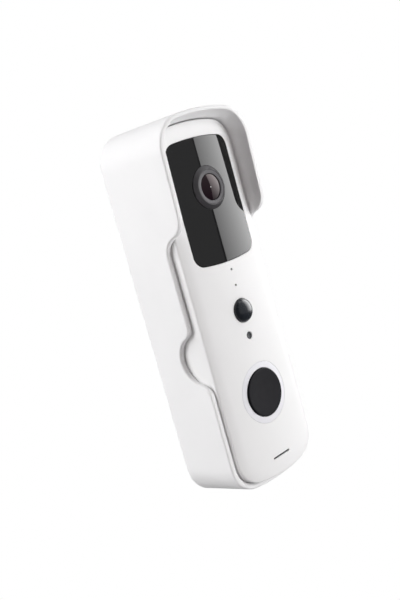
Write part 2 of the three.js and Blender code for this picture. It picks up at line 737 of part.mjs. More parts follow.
function mainBoard() {
  const { halfWidth, top, bottom } = BOARD;
  const yRange = [BOARD_FRONT_Y, BOARD_FRONT_Y + BOARD_THICKNESS];
  return piece("main_board", box([-halfWidth, halfWidth], yRange, [bottom, top]), "greenBoard");
}

function radioModule() {
  return piece("radio_module", onBoard(8, 2.2, 3.6, -7.5, -20.6), "sensorCan");
}

function processor() {
  return piece("processor", onBoard(4.5, 1.1, 4.5, 11.2, 2), "chipBlack");
}

function batteryPack() {
  const { halfWidth, top, bottom, frontY, backY } = BATTERY;
  const nearlyStraight = 4000;
  const section = archedOutline({ halfWidth, top, bottom, corner: 2.5, arch: nearlyStraight }, 4);
  return piece("battery_pack", slab(section, backY, frontY), "batteryWrap");
}

function chargingBoard() {
  const { halfWidth, top, bottom, frontY, backY } = CHARGE_BOARD;
  return piece("charging_board", box([-halfWidth, halfWidth], [frontY, backY], [bottom, top]), "greenBoard");
}

// The charging socket: a metal shell open to the back, with its contact tongue inside.
function usbSocket() {
  const { x, z, halfLength, halfHeight } = USB;
  const footY = CHARGE_BOARD.backY + GAP;
  const mouthY = -5.1;
  const shell = solid(slab(stadium(halfLength, halfHeight, x, z), mouthY, footY));
  const inner = stadium(halfLength - 0.4, halfHeight - 0.4, x, z);
  const hollow = solid(slab(inner, mouthY + CUT, footY + 0.8));
  const tongue = solid(box([x - 3.2, x + 3.2], [footY + 0.4, mouthY - 1], [z - 0.35, z + 0.35]));
  return piece("usb_socket", union(shell.subtract(hollow), tongue), "sensorCan");
}

// The rubber plug that keeps rain out of the charging socket.
function usbPlug() {
  const { x, z } = USB;
  const { halfLength, halfHeight, thickness } = USB_COVER;
  const outline = stadium(halfLength - GAP, halfHeight - GAP, x, z);
  const plate = solid(slab(outline, BACK_Y, BACK_Y - thickness));
  const nose = solid(slab(stadium(3.6, 0.9, x, z), BACK_Y - 1, -5.6));
  return piece("usb_plug", union(plate, nose), "whiteRubber");
}

function resetButton() {
  const profile = [
    [0, -6.0],
    [RESET.radius + 0.7, -6.0],
    [RESET.radius + 0.7, -5.1],
    [RESET.radius, -5.1],
    [RESET.radius, -3.4],
    [RESET.radius - 0.2, -3.2],
    [0, -3.2],
  ];
  return piece("reset_button", turned(profile, RESET.x, RESET.z, SMALL_ROUND), "whiteRubber");
}

function resetSwitch() {
  const footY = CHARGE_BOARD.backY + GAP;
  const { x, z, travel } = RESET;
  const topY = -6.0 - travel - GAP;
  return piece("reset_switch", box([x - 2, x + 2], [footY, topY], [z - 1.6, z + 1.6]), "chipBlack");
}

// ---------------------------------------------------------------- wall bracket

// An upturned hook: a neck through the housing's slot and a tip behind its wall.
function hook(x, z) {
  const { halfWidth, neck, tip, thickness } = HOOK;
  const xRange = [x - halfWidth, x + halfWidth];
  const tipBackY = BACK_INNER_Y - GAP;
  const tipFrontY = tipBackY - thickness;
  return union(
    solid(box(xRange, [tipFrontY, -1], [z, z + neck])),
    solid(box(xRange, [tipFrontY, tipBackY], [z, z + tip])),
  );
}

// A countersunk hole for a wall screw, wide at the front.
function wallHoleCutters(z) {
  const sinkDepth = 1.6;
  const sink = new THREE.CylinderGeometry(WALL_HOLE, WALL_HOLE_SINK, sinkDepth, 20);
  sink.translate(0, -PLATE.thickness - 0.05 + sinkDepth / 2, z);
  return [solid(rod(WALL_HOLE, CUT, -2 * CUT, 0, z, 20)), solid(sink)];
}

function wallBracket() {
  const plate = solid(slab(archedOutline(PLATE, 5), 0, -PLATE.thickness));
  const lip = solid(box(
    [-LIP.halfWidth, LIP.halfWidth],
    [LIP.frontY, 0],
    [LIP.bottom, LIP.top],
  ));
  const root = solid(box(
    [-LIP.halfWidth, LIP.halfWidth],
    [-PLATE.thickness, 0],
    [LIP.bottom, PLATE.bottom + 4],
  ));
  const threadRadius = LOCK.shank + 0.06;
  const lockHole = new THREE.CylinderGeometry(threadRadius, threadRadius, 20, 24);
  lockHole.rotateX(Math.PI / 2);
  lockHole.translate(0, LOCK.y, LIP.bottom);
  const body = union(plate, lip, root, ...hookPlaces().map(([x, z]) => hook(x, z)));
  const holes = WALL_HOLES_Z.flatMap((z) => wallHoleCutters(z));
  return piece("wall_bracket", cutAll(body, [solid(lockHole), ...holes]), "whiteShell");
}

// The locking screw comes up through the bracket's lip into the unit's foot.
function lockScrew() {
  const { shank, head, tip, headTop, headBottom, y } = LOCK;
  const points = [
    [0, headBottom],
    [head - 0.4, headBottom],
    [head, headBottom + 0.5],
    [head, headTop],
    [shank, headTop],
    [shank, tip - 0.8],
    [shank - 0.6, tip],
    [0, tip],
  ].map(([radius, z]) => new THREE.Vector2(radius, z));
  const body = new THREE.LatheGeometry(points, 24);
  body.rotateX(Math.PI / 2);
  body.translate(0, y, 0);
  const socket = new THREE.CylinderGeometry(1.25, 1.25, 3, 6);
  socket.rotateX(Math.PI / 2);
  socket.translate(0, y, headBottom);
  return piece("lock_screw", solid(body).subtract(solid(socket)), "screwSteel");
}

// ---------------------------------------------------------------- assembly

function group(...children) {
  const parent = new THREE.Group();
  parent.add(...children);
  return parent;
}

const bracket = group(wallBracket(), lockScrew());
const cover = group(rainCover());
const shells = group(
  frontHousing(),
  rearHousing(),
  housingGasket(),
  ...cornerPlaces().map(([x, z], index) => caseScrew(index, x, z)),
);
const camera = group(
  cameraWindow(),
  lensBezel(),
  lensCone(),
  lensGlass(),
  lensBarrel(),
  cameraHolder(),
  sensorBoard(),
  infraredBoard(),
  ...IR_PLACES.map(([x, z], index) => infraredLed(index, x, z)),
);
const sensors = group(
  pirDome(),
  pirSensor(),
  lightSensorWindow(),
  lightSensor(),
  microphone(),
  microphoneGasket(),
  statusLed(),
  statusLightPipe(),
);
const callButton = group(
  buttonRing(),
  buttonCap(),
  buttonReturnPad(),
  switchBody(),
  switchPlunger(),
);
const speaker = group(speakerFrame(), speakerCone(), speakerGasket());
const electronics = group(
  mainBoard(),
  radioModule(),
  processor(),
  batteryPack(),
  chargingBoard(),
  usbSocket(),
  usbPlug(),
  resetButton(),
  resetSwitch(),
);

const doorbell = group(bracket, cover, shells, camera, sensors, callButton, speaker, electronics);

export default doorbell;
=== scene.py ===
"""The looks of a slim video doorbell in a hooded weather cover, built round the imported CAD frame.

Shapes are worked out in millimetres in the row frame (x to the viewer's right, z up, the face
looks along -y) and turned into metres when a piece is made.
"""
from math import asin, atan2, cos, hypot, pi, radians, sin, sqrt, tan

import bmesh
import bpy
from mathutils import Matrix, Vector
from mathutils.geometry import delaunay_2d_cdt

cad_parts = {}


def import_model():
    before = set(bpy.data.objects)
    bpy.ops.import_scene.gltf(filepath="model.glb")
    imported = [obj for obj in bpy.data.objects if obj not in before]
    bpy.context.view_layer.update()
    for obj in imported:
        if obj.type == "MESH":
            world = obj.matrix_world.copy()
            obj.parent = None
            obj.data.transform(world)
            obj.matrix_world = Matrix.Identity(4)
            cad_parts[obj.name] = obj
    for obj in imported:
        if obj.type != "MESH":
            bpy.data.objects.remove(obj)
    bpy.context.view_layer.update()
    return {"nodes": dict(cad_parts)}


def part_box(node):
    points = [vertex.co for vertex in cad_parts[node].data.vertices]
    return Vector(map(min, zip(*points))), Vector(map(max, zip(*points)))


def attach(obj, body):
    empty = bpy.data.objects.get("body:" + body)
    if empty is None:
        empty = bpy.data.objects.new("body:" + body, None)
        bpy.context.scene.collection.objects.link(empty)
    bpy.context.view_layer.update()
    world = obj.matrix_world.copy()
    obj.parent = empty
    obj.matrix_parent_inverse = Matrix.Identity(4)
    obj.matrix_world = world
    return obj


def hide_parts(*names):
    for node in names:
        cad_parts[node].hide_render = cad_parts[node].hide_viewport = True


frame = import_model()

MM = 0.001
QUARTER = pi / 2


def low_high(node):
    """A CAD node's lowest and highest corners, in millimetres."""
    low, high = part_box(node)
    return low / MM, high / MM


def centre(node):
    """The middle of a CAD node's box, as [x, y, z]."""
    return [(low + high) / 2 for low, high in zip(*low_high(node))]


# ---------------- sizes from the frame

HOUSING_LOW, HOUSING_HIGH = low_high("front_housing")
COVER_LOW, COVER_HIGH = low_high("rain_cover")
WINDOW_LOW, WINDOW_HIGH = low_high("camera_window")

FACE_Y = HOUSING_LOW.y
SPLIT_Y = HOUSING_HIGH.y
WALL = 1.8
INNER_Y = FACE_Y + 2.8

LENS_Z = centre("lens_bezel")[2]
PIR_Z = centre("pir_dome")[2]
LIGHT_SENSOR_Z = centre("light_sensor_window")[2]
BUTTON_Z = centre("button_cap")[2]
MICROPHONE_Z = centre("microphone_gasket")[2]
STATUS_Z = centre("status_light_pipe")[2]
SLOT_Z = centre("speaker_frame")[2] - 3.3


# ---------------- flat outlines

CORNER_STEPS = 14


def arc(x, z, radius, start, end, steps, last=0):
    """Places along an arc, as (x, z, normal x, normal z), without its end unless last is 1."""
    angles = [start + (end - start) * step / steps for step in range(steps + last)]
    return [
        (x + radius * cos(a), z + radius * sin(a), cos(a), sin(a))
        for a in angles
    ]


class Outline:
    """A rounded rectangle whose top and bottom are shallow arches, tangent to its corners."""

    def __init__(self, half_width, top, bottom, corner, arch):
        self.half_width = half_width
        self.top = top
        self.bottom = bottom
        self.corner = corner
        self.arch = arch
        self.reach = half_width - corner
        self.lean = asin(self.reach / (arch - corner))
        lift = sqrt((arch - corner) ** 2 - self.reach ** 2)
        self.high = top - arch + lift
        self.low = bottom + arch - lift

    def points(self, inset=0.0, side_heights=(), arch_steps=18):
        """The outline pulled in by inset, anticlockwise, as (x, z, normal x, normal z)."""
        half = self.half_width - inset
        corner = self.corner - inset
        arch = self.arch - inset
        found = []
        for side, start, heights, near, far, middle in (
            (1, 0, side_heights, self.low, self.high, self.top - self.arch),
            (-1, 2 * QUARTER, side_heights[::-1], self.high, self.low, self.bottom + self.arch),
        ):
            rise = start + QUARTER - self.lean
            fall = start + QUARTER + self.lean
            found.extend((side * half, z, side, 0.0) for z in (near, *heights))
            found += arc(side * self.reach, far, corner, start, rise, CORNER_STEPS)
            found += arc(0.0, middle, arch, rise, fall, arch_steps)
            found += arc(-side * self.reach, far, corner, fall, start + 2 * QUARTER, CORNER_STEPS)
        return found

    def depth(self, x, z):
        """How far inside the outline a point lies."""
        across = abs(x)
        depths = [
            self.half_width - across,
            self.arch - hypot(x, z - (self.top - self.arch)),
            self.arch - hypot(x, z - (self.bottom + self.arch)),
        ]
        for up, centre in ((1, self.high), (-1, self.low)):
            dx = across - self.reach
            dz = (z - centre) * up
            if dx > 0 and dz > 0 and atan2(dz, dx) < QUARTER - self.lean:
                depths.append(self.corner - hypot(dx, dz))
        return min(depths)


def circle(radius, z, x=0.0, steps=48):
    return arc(x, z, radius, 0, 4 * QUARTER, steps)


def stadium(half_length, half_height, z, x=0.0):
    """The outline of a long hole with round ends."""
    reach = half_length - half_height
    right = arc(x + reach, z, half_height, -QUARTER, QUARTER, 10, last=1)
    return right + arc(x - reach, z, half_height, QUARTER, 3 * QUARTER, 10, last=1)


def quarter_turn(steps, first=0):
    """Angles in even steps from nought to a quarter turn, from the first step on."""
    return [QUARTER * step / steps for step in range(first, steps + 1)]


def offset(outline, amount):
    return [(x + nx * amount, z + nz * amount, nx, nz) for x, z, nx, nz in outline]


BODY = Outline(HOUSING_HIGH.x, HOUSING_HIGH.z, HOUSING_LOW.z, corner=10.2, arch=80)
COVER = Outline(COVER_HIGH.x, COVER_HIGH.z, COVER_LOW.z, corner=12.4, arch=85)
WINDOW = Outline(WINDOW_HIGH.x, WINDOW_HIGH.z, WINDOW_LOW.z, corner=4.5, arch=94)
WINDOW_OPENING = Outline(
    WINDOW_HIGH.x - 1.5, WINDOW_HIGH.z - 1.6, WINDOW_LOW.z + 1.6, corner=3.0, arch=92.5
)

SPEAKER_SLOT = stadium(4.6, 0.36, SLOT_Z)
MICROPHONE_HOLE = circle(0.45, MICROPHONE_Z, steps=20)
STATUS_HOLE = circle(0.45, STATUS_Z, steps=20)

FACE_RADIUS = 105.0   # the face is a shallow barrel that bows towards the viewer
EDGE_START = 4.5      # how far in from its edge the face begins to fall away faster
EDGE_RADIUS = 15.0    # radius of that fall


def edge_fall(inset):
    run = max(0.0, EDGE_START - inset)
    return EDGE_RADIUS - sqrt(EDGE_RADIUS ** 2 - run ** 2)


def barrel_y(x, _z):
    """The bowed face before its edges fall away."""
    return FACE_Y + (FACE_RADIUS - sqrt(FACE_RADIUS ** 2 - x ** 2))


def face_y(x, z):
    return barrel_y(x, z) + edge_fall(BODY.depth(x, z))


def face_normal(x, z):
    """The direction the face points at a place, from its slope."""
    step = 0.02
    slope_x = (face_y(x + step, z) - face_y(x - step, z)) / (2 * step)
    slope_z = (face_y(x, z + step) - face_y(x, z - step)) / (2 * step)
    return Vector((slope_x, -1.0, slope_z)).normalized()


def y_at(y, x, z):
    """A height at a place, from y as a number or a function."""
    return y(x, z) if callable(y) else y


def sunk(y, depth):
    """The height that lies behind y by a depth."""
    return lambda x, z: y_at(y, x, z) + depth


# ---------------- surfaces

def rolled(items):
    """A list that starts at its second item and ends with its first."""
    return items[1:] + items[:1]


class Surface:
    """Points and faces in millimetres, grown ring by ring."""

    def __init__(self):
        self.points = []
        self.faces = []

    def loose_ring(self, points):
        start = len(self.points)
        self.points.extend(points)
        return list(range(start, len(self.points)))

    def ring(self, outline, y):
        """Adds a closed ring of points over a flat outline; y is a number or a function."""
        return self.loose_ring((x, y_at(y, x, z), z) for x, z, *_ in outline)

    def bridge(self, first, second):
        self.faces.extend(zip(first, rolled(first), rolled(second), second))
        return second

    def chain(self, last, *rings):
        """Bridges on from a ring through further rings, each given as (outline, y)."""
        for outline, y in rings:
            last = self.bridge(last, self.ring(outline, y))
        return last

    def hoop(self, rings):
        """Bridges a list of rings, and its last to its first."""
        for first, second in zip(rings, rolled(rings)):
            self.bridge(first, second)

    def tip(self, ring, point):
        """Closes a ring with a fan of triangles to one point."""
        apex = len(self.points)
        self.points.append(point)
        self.faces.extend((a, b, apex) for a, b in zip(ring, rolled(ring)))

    def sheet(self, outer, holes, y, spacing):
        """Fills the area inside outer and outside holes with triangles."""
        index = []
        polygons = []
        edges = []
        for ring in (outer, *holes):
            here = list(range(len(index), len(index) + len(ring)))
            edges.extend(zip(here, rolled(here)))
            polygons.append([Vector((self.points[i][0], self.points[i][2])) for i in ring])
            index.extend(ring)
        flat = [place for polygon in polygons for place in polygon]
        for x, z in filling(polygons, flat, spacing):
            flat.append(Vector((x, z)))
            index.append(len(self.points))
            self.points.append((x, y_at(y, x, z), z))
        found, _, triangles, origin, _, _ = delaunay_2d_cdt(flat, edges, [], 0, 1e-6)
        for triangle in triangles:
            middle = sum((found[i] for i in triangle), Vector((0, 0))) / 3
            if covered(middle, polygons):
                self.faces.append(tuple(index[origin[i][0]] for i in triangle))


def inside(point, polygon):
    """Whether a point lies inside a polygon, by counting the edges to its right."""
    x, z = point
    crossed = 0
    for before, after in zip(polygon, rolled(polygon)):
        if (before[1] > z) != (after[1] > z):
            share = (z - before[1]) / (after[1] - before[1])
            crossed += x < before[0] + share * (after[0] - before[0])
    return crossed % 2 == 1


def covered(point, polygons):
    outer, *holes = polygons
    return inside(point, outer) and not any(inside(point, hole) for hole in holes)


def filling(polygons, rim, spacing):
    """Grid points inside the area that keep clear of its rims."""
    across, up = zip(*polygons[0])
    columns = int((max(across) - min(across)) / spacing)
    rows = int((max(up) - min(up)) / spacing)
    clear = (spacing * 0.45) ** 2
    for column in range(1, columns + 1):
        for row in range(1, rows + 1):
            x = min(across) + column * spacing
            z = min(up) + (row + 0.5 * (column % 2)) * spacing
            if covered((x, z), polygons):
                if all((x - p[0]) ** 2 + (z - p[1]) ** 2 > clear for p in rim):
                    yield x, z


def rounded(corners):
    """A profile with its corners rounded. A corner is (a, b) or (a, b, radius)."""
    found = []
    steps = 5
    count = len(corners)
    for i, corner in enumerate(corners):
        here = Vector(corner[:2])
        radius = corner[2] if len(corner) > 2 else 0
        if not radius:
            found.append(tuple(here))
            continue
        before = (Vector(corners[i - 1][:2]) - here).normalized()
        after = (Vector(corners[(i + 1) % count][:2]) - here).normalized()
        half = before.angle(after) / 2
        run = radius / tan(half)
        middle = here + (before + after).normalized() * (radius / sin(half))
        start = here + before * run - middle
        end = here + after * run - middle
        sweep = start.angle_signed(end)
        for step in range(steps + 1):
            swing = -sweep * step / steps
            c, s = cos(swing), sin(swing)
            arm = Vector((start.x * c - start.y * s, start.x * s + start.y * c))
            found.append(tuple(middle + arm))
    return found


def turn(profile, z, x=0.0, steps=64):
    """Turns a profile of (radius, y) pairs round a line along y. It starts and ends on the
    axis, or is closed."""
    surface = Surface()
    rings = []
    for radius, y in profile:
        on_axis = radius < 1e-6
        rings.append(y if on_axis else surface.ring(circle(radius, z, x, steps), y))
    for first, second in zip(rings, rolled(rings)):
        if isinstance(first, list) and isinstance(second, list):
            surface.bridge(first, second)
        elif isinstance(first, list):
            surface.tip(first, (x, second, z))
        elif isinstance(second, list):
            surface.tip(second, (x, first, z))
    return surface


def dome(radius, height, foot_y, steps):
    """The profile of half an ellipse, from its foot to its tip."""
    return [(radius * cos(a), foot_y - height * sin(a)) for a in quarter_turn(steps)]


def collar(surface, outline, y, fillet, back_y, steps=4):
    """The wall of a hole, or of a plug if the fillet is negative, with a rounded lip at y.
    Returns its ring at y and its ring at back_y."""
    front = surface.ring(offset(outline, fillet), y)
    lip = [
        (offset(outline, fillet * (1 - sin(angle))), sunk(y, abs(fillet) * (1 - cos(angle))))
        for angle in quarter_turn(steps, 1)
    ]
    return front, surface.chain(front, *lip, (outline, back_y))


# ---------------- pieces

def new_object(name, data):
    made = bpy.data.objects.new(name, data)
    bpy.context.scene.collection.objects.link(made)
    return made


def finish_piece(piece, material, node, body, slot=None):
    """Gives a piece its material and body and hides its CAD node. The slot, that of its CAD node
    unless one is named, is worked out but not used.
    """
    slot = slot or frame["nodes"][node].data.materials[0].name
    piece.data.materials.clear()
    piece.data.materials.append(material)
    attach(piece, body)
    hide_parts(node)


def tidied(mesh, flat=None):
    """Joins doubled points, and faces that lie flatter than an angle if one is given."""
    work = bmesh.new()
    work.from_mesh(mesh)
    bmesh.ops.remove_doubles(work, verts=work.verts, dist=1e-7)
    if flat is None:
        bmesh.ops.dissolve_degenerate(work, edges=work.edges, dist=1e-8)
    else:
        bmesh.ops.dissolve_limit(work, angle_limit=flat, verts=work.verts, edges=work.edges)
    bmesh.ops.recalc_face_normals(work, faces=work.faces)
    work.to_mesh(mesh)
    work.free()
    mesh.shade_smooth()


def make_piece(surface, name, material, node, body="unit", move=None, skin=None, slot=None):
    """A smooth-shaded piece that stands for a CAD node. The faces that lie on its skin, which
    gives y for x and z, are shaded by the face's true slope."""
    mesh = bpy.data.meshes.new(name)
    mesh.from_pydata([Vector(p) * MM for p in surface.points], [], surface.faces)
    if move is not None:
        mesh.transform(move)
    tidied(mesh)
    mesh.set_sharp_from_angle(angle=radians(40))
    piece = new_object(name, mesh)
    if skin is not None:
        shade_by_slope(mesh, skin)
    else:
        weighted = piece.modifiers.new("weighted", "WEIGHTED_NORMAL")
        weighted.keep_sharp = True
    finish_piece(piece, material, node, body, slot)


def shade_by_slope(mesh, skin):
    automatic = Vector((0, 0, 0))
    normals = [automatic] * len(mesh.loops)
    for polygon in mesh.polygons:
        corners = [mesh.vertices[i].co / MM for i in polygon.vertices]
        on_skin = 0.004
        if all(abs(p.y - skin(p.x, p.z)) < on_skin for p in corners):
            for loop, corner in zip(polygon.loop_indices, corners):
                normals[loop] = face_normal(corner.x, corner.z)
    mesh.normals_split_custom_set(normals)


def softened(node, name, material, width, body="unit"):
    """A copy of a CAD node's shape with its flat faces joined and its edges rounded."""
    mesh = frame["nodes"][node].data.copy()
    mesh.name = name
    tidied(mesh, flat=radians(0.6))
    edge_angle = radians(35)
    mesh.set_sharp_from_angle(angle=edge_angle)
    piece = new_object(name, mesh)
    bevel = piece.modifiers.new("edges", "BEVEL")
    bevel.width = width * MM
    bevel.segments = 3
    bevel.limit_method = "ANGLE"
    bevel.angle_limit = edge_angle
    bevel.harden_normals = True
    finish_piece(piece, material, node, body)


# ---------------- materials

class Tree:
    """A node tree with helpers that add nodes to it."""

    def __init__(self, owner):
        owner.use_nodes = True
        self.nodes = owner.node_tree.nodes
        self.links = owner.node_tree.links

    def add(self, kind, **values):
        node = self.nodes.new("ShaderNode" + kind)
        for name, value in values.items():
            if name in node.inputs:
                node.inputs[name].default_value = value
            else:
                setattr(node, name, value)
        return node

    def math(self, operation, first, second=0.0):
        node = self.add("Math", operation=operation)
        for slot, value in enumerate((first, second)):
            if isinstance(value, (int, float)):
                node.inputs[slot].default_value = value
            else:
                self.links.new(value, node.inputs[slot])
        return node.outputs[0]

    def spread(self, value, low, high, from_low=0.3, from_high=0.7, kind="LINEAR"):
        """Maps a value between from_low and from_high onto the range low to high."""
        limits = {"From Min": from_low, "From Max": from_high, "To Min": low, "To Max": high}
        node = self.add("MapRange", interpolation_type=kind, **limits)
        self.links.new(value, node.inputs["Value"])
        return node.outputs["Result"]

    def split(self, vector):
        """A vector's parts, by the names X, Y and Z."""
        node = self.add("SeparateXYZ")
        self.links.new(vector, node.inputs[0])
        return node.outputs


class Shader(Tree):
    """A principled material with helpers for the nodes that drive it."""

    def __init__(self, name, color, roughness, metallic=0.0, gloss=0.5):
        self.material = bpy.data.materials.new(name)
        super().__init__(self.material)
        self.shader = self.nodes["Principled BSDF"]
        self.shader.inputs["Base Color"].default_value = (*color, 1)
        self.shader.inputs["Roughness"].default_value = roughness
        self.shader.inputs["Metallic"].default_value = metallic
        self.shader.inputs["Specular IOR Level"].default_value = gloss
        self.place = self.add("TexCoord").outputs["Object"]

    def drive(self, socket, value):
        self.links.new(value, self.shader.inputs[socket])

    def noise(self, scale, detail=2.0, roughness=0.5):
        node = self.add("TexNoise", Scale=scale, Detail=detail, Roughness=roughness)
        self.links.new(self.place, node.inputs["Vector"])
        return node.outputs["Fac"]

    def vary_color(self, value, first, second):
        node = self.add("Mix", data_type="RGBA")
        self.links.new(value, node.inputs["Factor"])
        for socket in node.inputs:
            if socket.type == "RGBA":
                socket.default_value = (*(first if socket.name == "A" else second), 1)
        self.drive("Base Color", next(out for out in node.outputs if out.type == "RGBA"))

    def vary_roughness(self, value, low, high):
        self.drive("Roughness", self.spread(value, low, high))

    def bump(self, value, strength, distance):
        node = self.add("Bump", Strength=strength, Distance=distance)
        self.links.new(value, node.inputs["Height"])
        self.drive("Normal", node.outputs["Normal"])

    def vector(self, operation, first, second=(0, 0, 0)):
        node = self.add("VectorMath", operation=operation)
        self.links.new(first, node.inputs[0])
        node.inputs[1].default_value = second
        return node.outputs

    def distance(self, x, z):
        """How far a place is from a line along y, in metres."""
        shifted = self.vector("SUBTRACT", self.place, (x * MM, 0, z * MM))[0]
        flat = self.vector("MULTIPLY", shifted, (1, 0, 1))[0]
        return self.vector("LENGTH", flat)["Value"]

    def rings(self, x, z, per_metre):
        """A value that rises and falls with the distance from a line along y."""
        return self.math("SINE", self.math("MULTIPLY", self.distance(x, z), per_metre))

    def worn_edges(self):
        """A value that is 1 on sharp outer edges and 0 elsewhere."""
        return self.spread(self.add("NewGeometry").outputs["Pointiness"], 0.0, 1.0, 0.52, 0.6)


def moulded(name, color, roughness, grain=0.25, tone=0.015, gloss=0.5):
    """Moulded plastic: a fine spark-eroded grain, faint tone drift and rubbed edges."""
    made = Shader(name, color, roughness, gloss=gloss)
    darker = tuple(c * (1 - tone) for c in color)
    lighter = tuple(min(1.0, c * (1 + tone)) for c in color)
    made.vary_color(made.spread(made.noise(38.0, 3.0), 0.0, 1.0), darker, lighter)
    base = made.spread(made.noise(420.0, 3.0), roughness - 0.04, roughness + 0.05)
    rubbed = made.math("MULTIPLY", made.worn_edges(), 0.12)
    made.drive("Roughness", made.math("SUBTRACT", base, rubbed))
    fine = made.noise(5200.0, 2.0)
    coarse = made.math("MULTIPLY", made.noise(1500.0, 2.0), 0.6)
    made.bump(made.math("ADD", fine, coarse), grain, 0.00002)
    return made.material


def polished(name, color, roughness):
    """Polished plastic with the faintest smudges and long moulding waves."""
    made = Shader(name, color, roughness)
    made.vary_roughness(made.noise(180.0, 4.0, 0.6), roughness * 0.7, roughness * 1.5)
    made.bump(made.noise(45.0, 1.0), 0.04, 0.00005)
    return made.material


def rubber(name, color):
    """Soft matt rubber."""
    roughness = 0.75
    made = Shader(name, color, roughness)
    made.vary_roughness(made.noise(700.0, 3.0), roughness - 0.08, roughness + 0.08)
    made.bump(made.noise(3600.0, 2.0), 0.3, 0.00003)
    return made.material


def turned_grey(name, color, roughness, groove, gloss):
    """Dark plastic with fine turned grooves round the lens."""
    made = Shader(name, color, roughness, gloss=gloss)
    made.vary_roughness(made.noise(600.0, 2.0), roughness - 0.05, roughness + 0.05)
    made.bump(made.rings(0.0, LENS_Z, groove), 0.15, 0.00002)
    return made.material


def brushed_metal(name, color, roughness, grain=2600.0):
    made = Shader(name, color, roughness, metallic=1.0)
    made.vary_roughness(made.noise(grain, 3.0), roughness - 0.08, roughness + 0.12)
    made.bump(made.noise(grain * 0.6, 2.0), 0.12, 0.00001)
    return made.material


def circuit_board(name, mask, track):
    """Solder mask over a faint pattern of copper tracks."""
    made = Shader(name, mask, 0.35)
    brick = made.add("TexBrick", Scale=260.0)
    made.links.new(made.place, brick.inputs["Vector"])
    made.vary_color(brick.outputs["Fac"], mask, track)
    made.bump(brick.outputs["Fac"], 0.3, 0.00003)
    return made.material


def lens_glass_material():
    """The coated front element: plum in the middle, near black towards its edge, a stronger
    coating sheen towards its top, and a painted glint: a pinpoint that glows by emission."""
    made = Shader("lens_glass", (0.012, 0.008, 0.011), 0.03)
    made.shader.inputs["Specular Tint"].default_value = (1.0, 0.84, 0.84, 1)
    made.shader.inputs["Emission Color"].default_value = (1, 1, 1, 1)
    outwards = made.spread(made.distance(0.0, LENS_Z), 0.0, 1.0, 0.0008, 0.005)
    made.vary_color(outwards, (0.007, 0.002, 0.005), (0.006, 0.001, 0.004))
    height = made.split(made.place)["Z"]
    radius = 4.6
    coating = made.spread(height, 0.08, 0.43, (LENS_Z - radius) * MM, (LENS_Z + radius) * MM)
    made.drive("Specular IOR Level", coating)
    # Painted highlight: a pinpoint of emission just left of the lens's middle stands for a glint off
    # the elements inside.
    painted_glint = made.spread(made.distance(-0.3, LENS_Z), 0.7, 0.0, 0.0001, 0.0003)
    made.drive("Emission Strength", painted_glint)
    made.bump(made.noise(60.0, 1.0), 0.01, 0.00001)
    return made.material


COVER_WHITE = moulded("cover_plastic", (0.868, 0.868, 0.876), 0.52, gloss=0.2)
SHELL_WHITE = moulded("white_shell", (0.86, 0.86, 0.864), 0.5, gloss=0.2)
BRACKET_WHITE = moulded("bracket_plastic", (0.80, 0.80, 0.79), 0.55, grain=0.35)
WINDOW_BLACK = polished("window_black", (0.002, 0.002, 0.0025), 0.03)
DOME_BLACK = polished("dome_black", (0.006, 0.009, 0.014), 0.22)
BUTTON_BLACK = moulded("button_black", (0.006, 0.0058, 0.0082), 0.6, 0.3, tone=0.08, gloss=0.12)
BEZEL_GREY = turned_grey("bezel_grey", (0.034, 0.032, 0.036), 0.5, 9000.0, 0.4)
CONE_GREY = turned_grey("cone_grey", (0.1, 0.097, 0.105), 0.6, 14000.0, 0.25)
BARREL_BLACK = turned_grey("barrel_black", (0.006, 0.006, 0.007), 0.45, 12000.0, 0.3)
LENS_GLASS = lens_glass_material()
RING_WHITE = moulded("light_guide", (0.80, 0.80, 0.84), 0.32, grain=0.08)
SOFT_RUBBER = rubber("soft_rubber", (0.03, 0.03, 0.033))
WHITE_RUBBER = rubber("white_rubber", (0.66, 0.66, 0.65))
SCREW_STEEL = brushed_metal("screw_steel", (0.52, 0.53, 0.54), 0.3)
SENSOR_CAN = brushed_metal("sensor_can", (0.62, 0.63, 0.65), 0.28, 1800.0)
CLEAR_PLASTIC = polished("clear_plastic", (0.42, 0.45, 0.48), 0.12)
SMOKED_PLASTIC = polished("smoked_plastic", (0.02, 0.02, 0.022), 0.2)
GREEN_BOARD = circuit_board("green_board", (0.012, 0.11, 0.045), (0.03, 0.2, 0.08))
CHIP_BLACK = moulded("chip_black", (0.012, 0.012, 0.012), 0.5, grain=0.3)
BATTERY_WRAP = polished("battery_wrap", (0.03, 0.1, 0.3), 0.3)


# ---------------- weather cover

OUTER_ROUND = 0.7        # rounding of the rim's outer edge
INNER_ROUND = 0.35       # and of its inner edge
BORE_GAP = 0.09          # between the cover and the housing it hugs
END_GAP = 0.25           # how much wider the gap is at the top and the bottom
DRAFT = 1.5              # how far the bottom rises from back to front
HOOD_TOP_Y = -34.2       # where the rim would reach 4 mm above the cover
HOOD_Y = -33.0
HOOD_END_Z = 35.9
STEP_RADIUS = 7.2
STEP_TURN = radians(75)
NOTCH_RADIUS = 9.3
NOTCH_Z = -15.6
NOTCH_FILLET = 5.0
LOWER_RIM_Y = -24.6
COVER_BACK_Y = COVER_HIGH.y
LIP_NOTCH = (7.6, -11.0)   # half width and front of the notch for the bracket's lip


